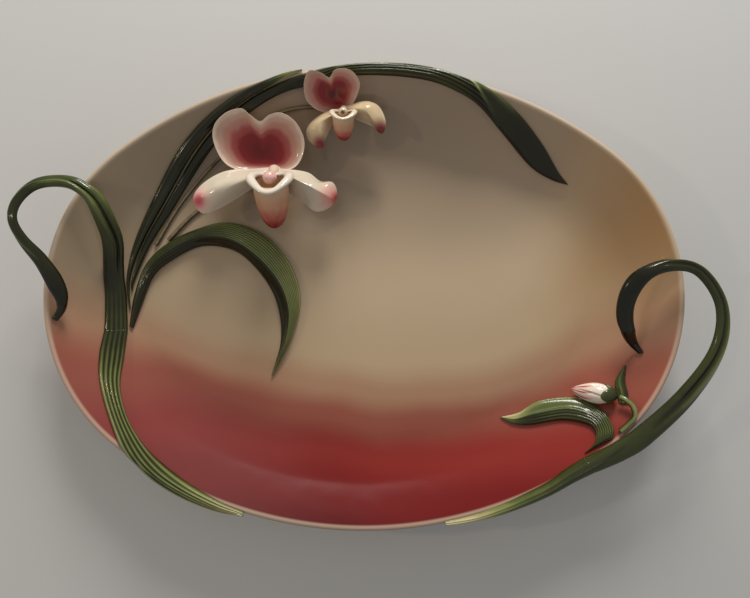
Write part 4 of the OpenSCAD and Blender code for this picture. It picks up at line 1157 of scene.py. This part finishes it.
# Three petals wrap the bud, each lapping the next along a seam that turns a little as it goes.
seam = np.mod(bud_w * 3 + 2.4 * bud_s[:, None] + 0.9, 2 * np.pi)
lap = 0.055 * seam / (2 * np.pi) - 0.10 * bump(seam, 0.25, 0.28)
bud_r = bud_radius(bud_s)[:, None] * (0.97 + lap * ramp(bud_s, 0.05, 0.3)[:, None])
bud_rings = about_bud(BUD_L * bud_s[:, None], bud_r, bud_w)
streak = np.clip(np.cos(bud_w * 9 + 1.5 * np.sin(7 * bud_s[:, None])), 0, 1) ** 1.5
streak = streak * ramp(bud_s, 0.36, 0.74)[:, None] + 0.6 * ramp(bud_s, 0.84, 1.0)[:, None]
bud = closed_skin("closed_bud", bud_rings, bud_foot, bud_foot + bud_way * BUD_L,
                  streak=np.clip(streak, 0, 1))
bud_glaze = new_glaze("bud_white_glaze")
colour(bud_glaze, shades(bud_glaze, paint_of(bud_glaze, "streak"), [
    (0.0, 0.84, 0.74, 0.62), (0.35, 0.76, 0.40, 0.36), (0.8, 0.50, 0.06, 0.07),
    (1.0, 0.40, 0.03, 0.04)]))
put_on(bud, bud_glaze, "petal_glaze", "bud")

calyx_s = np.linspace(0, 1, 22)[:, None]
calyx_w = np.linspace(0, 2 * np.pi, 61)[:-1]
# Three pointed sepals: the cup reaches further along the bud at three places round it.
reach = CALYX_SHARE * (0.72 + 0.55 * np.abs(np.cos(1.5 * calyx_w + 0.6)) ** 1.6)
out_s = calyx_s * reach
out_r = bud_radius(out_s) * 0.98 + CALYX_T * np.sqrt(np.clip(1.02 - calyx_s**6, 0, 1))
in_r = bud_radius(out_s) * 0.985
calyx_along = np.concatenate([BUD_L * out_s - CALYX_T * (1 - calyx_s), (BUD_L * out_s)[::-1]], 0)
calyx_rings = about_bud(calyx_along, np.concatenate([out_r, in_r[::-1]], 0), calyx_w)
calyx_tint = np.concatenate([0.25 + 0.25 * calyx_s, np.full_like(calyx_s, 0.3)])
calyx_end = bud_foot - bud_way * (CALYX_T + STALK_END)
calyx = closed_skin("bud_calyx_cup", calyx_rings[1:-1], calyx_end, bud_foot, tint=calyx_tint[1:-1])
put_on(calyx, leaf_glaze, "leaf_glaze", "bud_calyx")
bud_stalk = rolled("bud_stalk_roll", BUD_STALK, 2.0)
put_on(bud_stalk, leaf_glaze_of("bud_stalk_glaze", -0.28), "leaf_glaze", "bud_stalk")


def bract_relief(u, t):
    """A sharp midrib down the bract."""
    return 0.9 * bump(u, 0.45, 0.10) - 0.3


def bract_tint(u, t):
    """Olive, with a light midrib and a darker right side."""
    return 0.44 + 0.14 * bump(u, 0.45, 0.10) - 0.18 * ramp(u, 0.55, 0.8)


bract = blade("bud_bract_leaf", BUD_BRACT, bract_relief, bract_tint, across=30)
put_on(bract, leaf_glaze, "leaf_glaze", "bud_bract")

# ---- Floor and light -----------------------------------------------------------------------
# A pale matt floor half a millimetre below the foot, a soft light low beyond the top rim, a
# small warm lamp at the left, and a pale even room.
FLOOR_HALF, FLOOR_DROP = 4.0, 0.0005
floor_mesh = bpy.data.meshes.new("floor")
corners = [(-1, -1), (1, -1), (1, 1), (-1, 1)]
floor_mesh.from_pydata([(FLOOR_HALF * i, FLOOR_HALF * k, -FLOOR_DROP) for i, k in corners], [],
                       [(0, 1, 2, 3)])
floor = bpy.data.objects.new("floor", floor_mesh)
bpy.context.scene.collection.objects.link(floor)
floor_paint = bpy.data.materials.new("floor_matt")
floor_paint.use_nodes = True
floor_body = floor_paint.node_tree.nodes["Principled BSDF"]
floor_body.inputs["Base Color"].default_value = (0.62, 0.62, 0.61, 1)
floor_body.inputs["Roughness"].default_value = 0.85
floor_mesh.materials.append(floor_paint)


def soft_light(name, place, aim, size, watts, tone):
    """A square lamp at a place, tilted from straight down and turned about Z to face a point."""
    lamp = bpy.data.lights.new(name, "AREA")
    lamp.size = size
    lamp.energy = watts
    lamp.color = tone
    made = bpy.data.objects.new(name, lamp)
    made.location = place
    dx, dy, dz = (p - q for p, q in zip(place, aim))
    tilt = math.atan2(math.hypot(dx, dy), dz)
    made.rotation_euler = (tilt, 0, math.atan2(dy, dx) + math.pi / 2)
    bpy.context.scene.collection.objects.link(made)


soft_light("far_window", (0.12, 1.37, 0.60), (0, 0, 0), 0.46, 19.5, (1.0, 0.97, 0.93))
soft_light("left_lamp", (-0.84, 0.13, 0.70), (0.1, 0, 0), 0.05, 0.9, (1.0, 0.82, 0.58))

room = bpy.data.worlds.new("pale_room")
room.use_nodes = True
room.node_tree.nodes["Background"].inputs["Color"].default_value = (1.0, 0.98, 0.95, 1)
room.node_tree.nodes["Background"].inputs["Strength"].default_value = 0.33
bpy.context.scene.world = room
bpy.context.scene.view_settings.view_transform = "Standard"
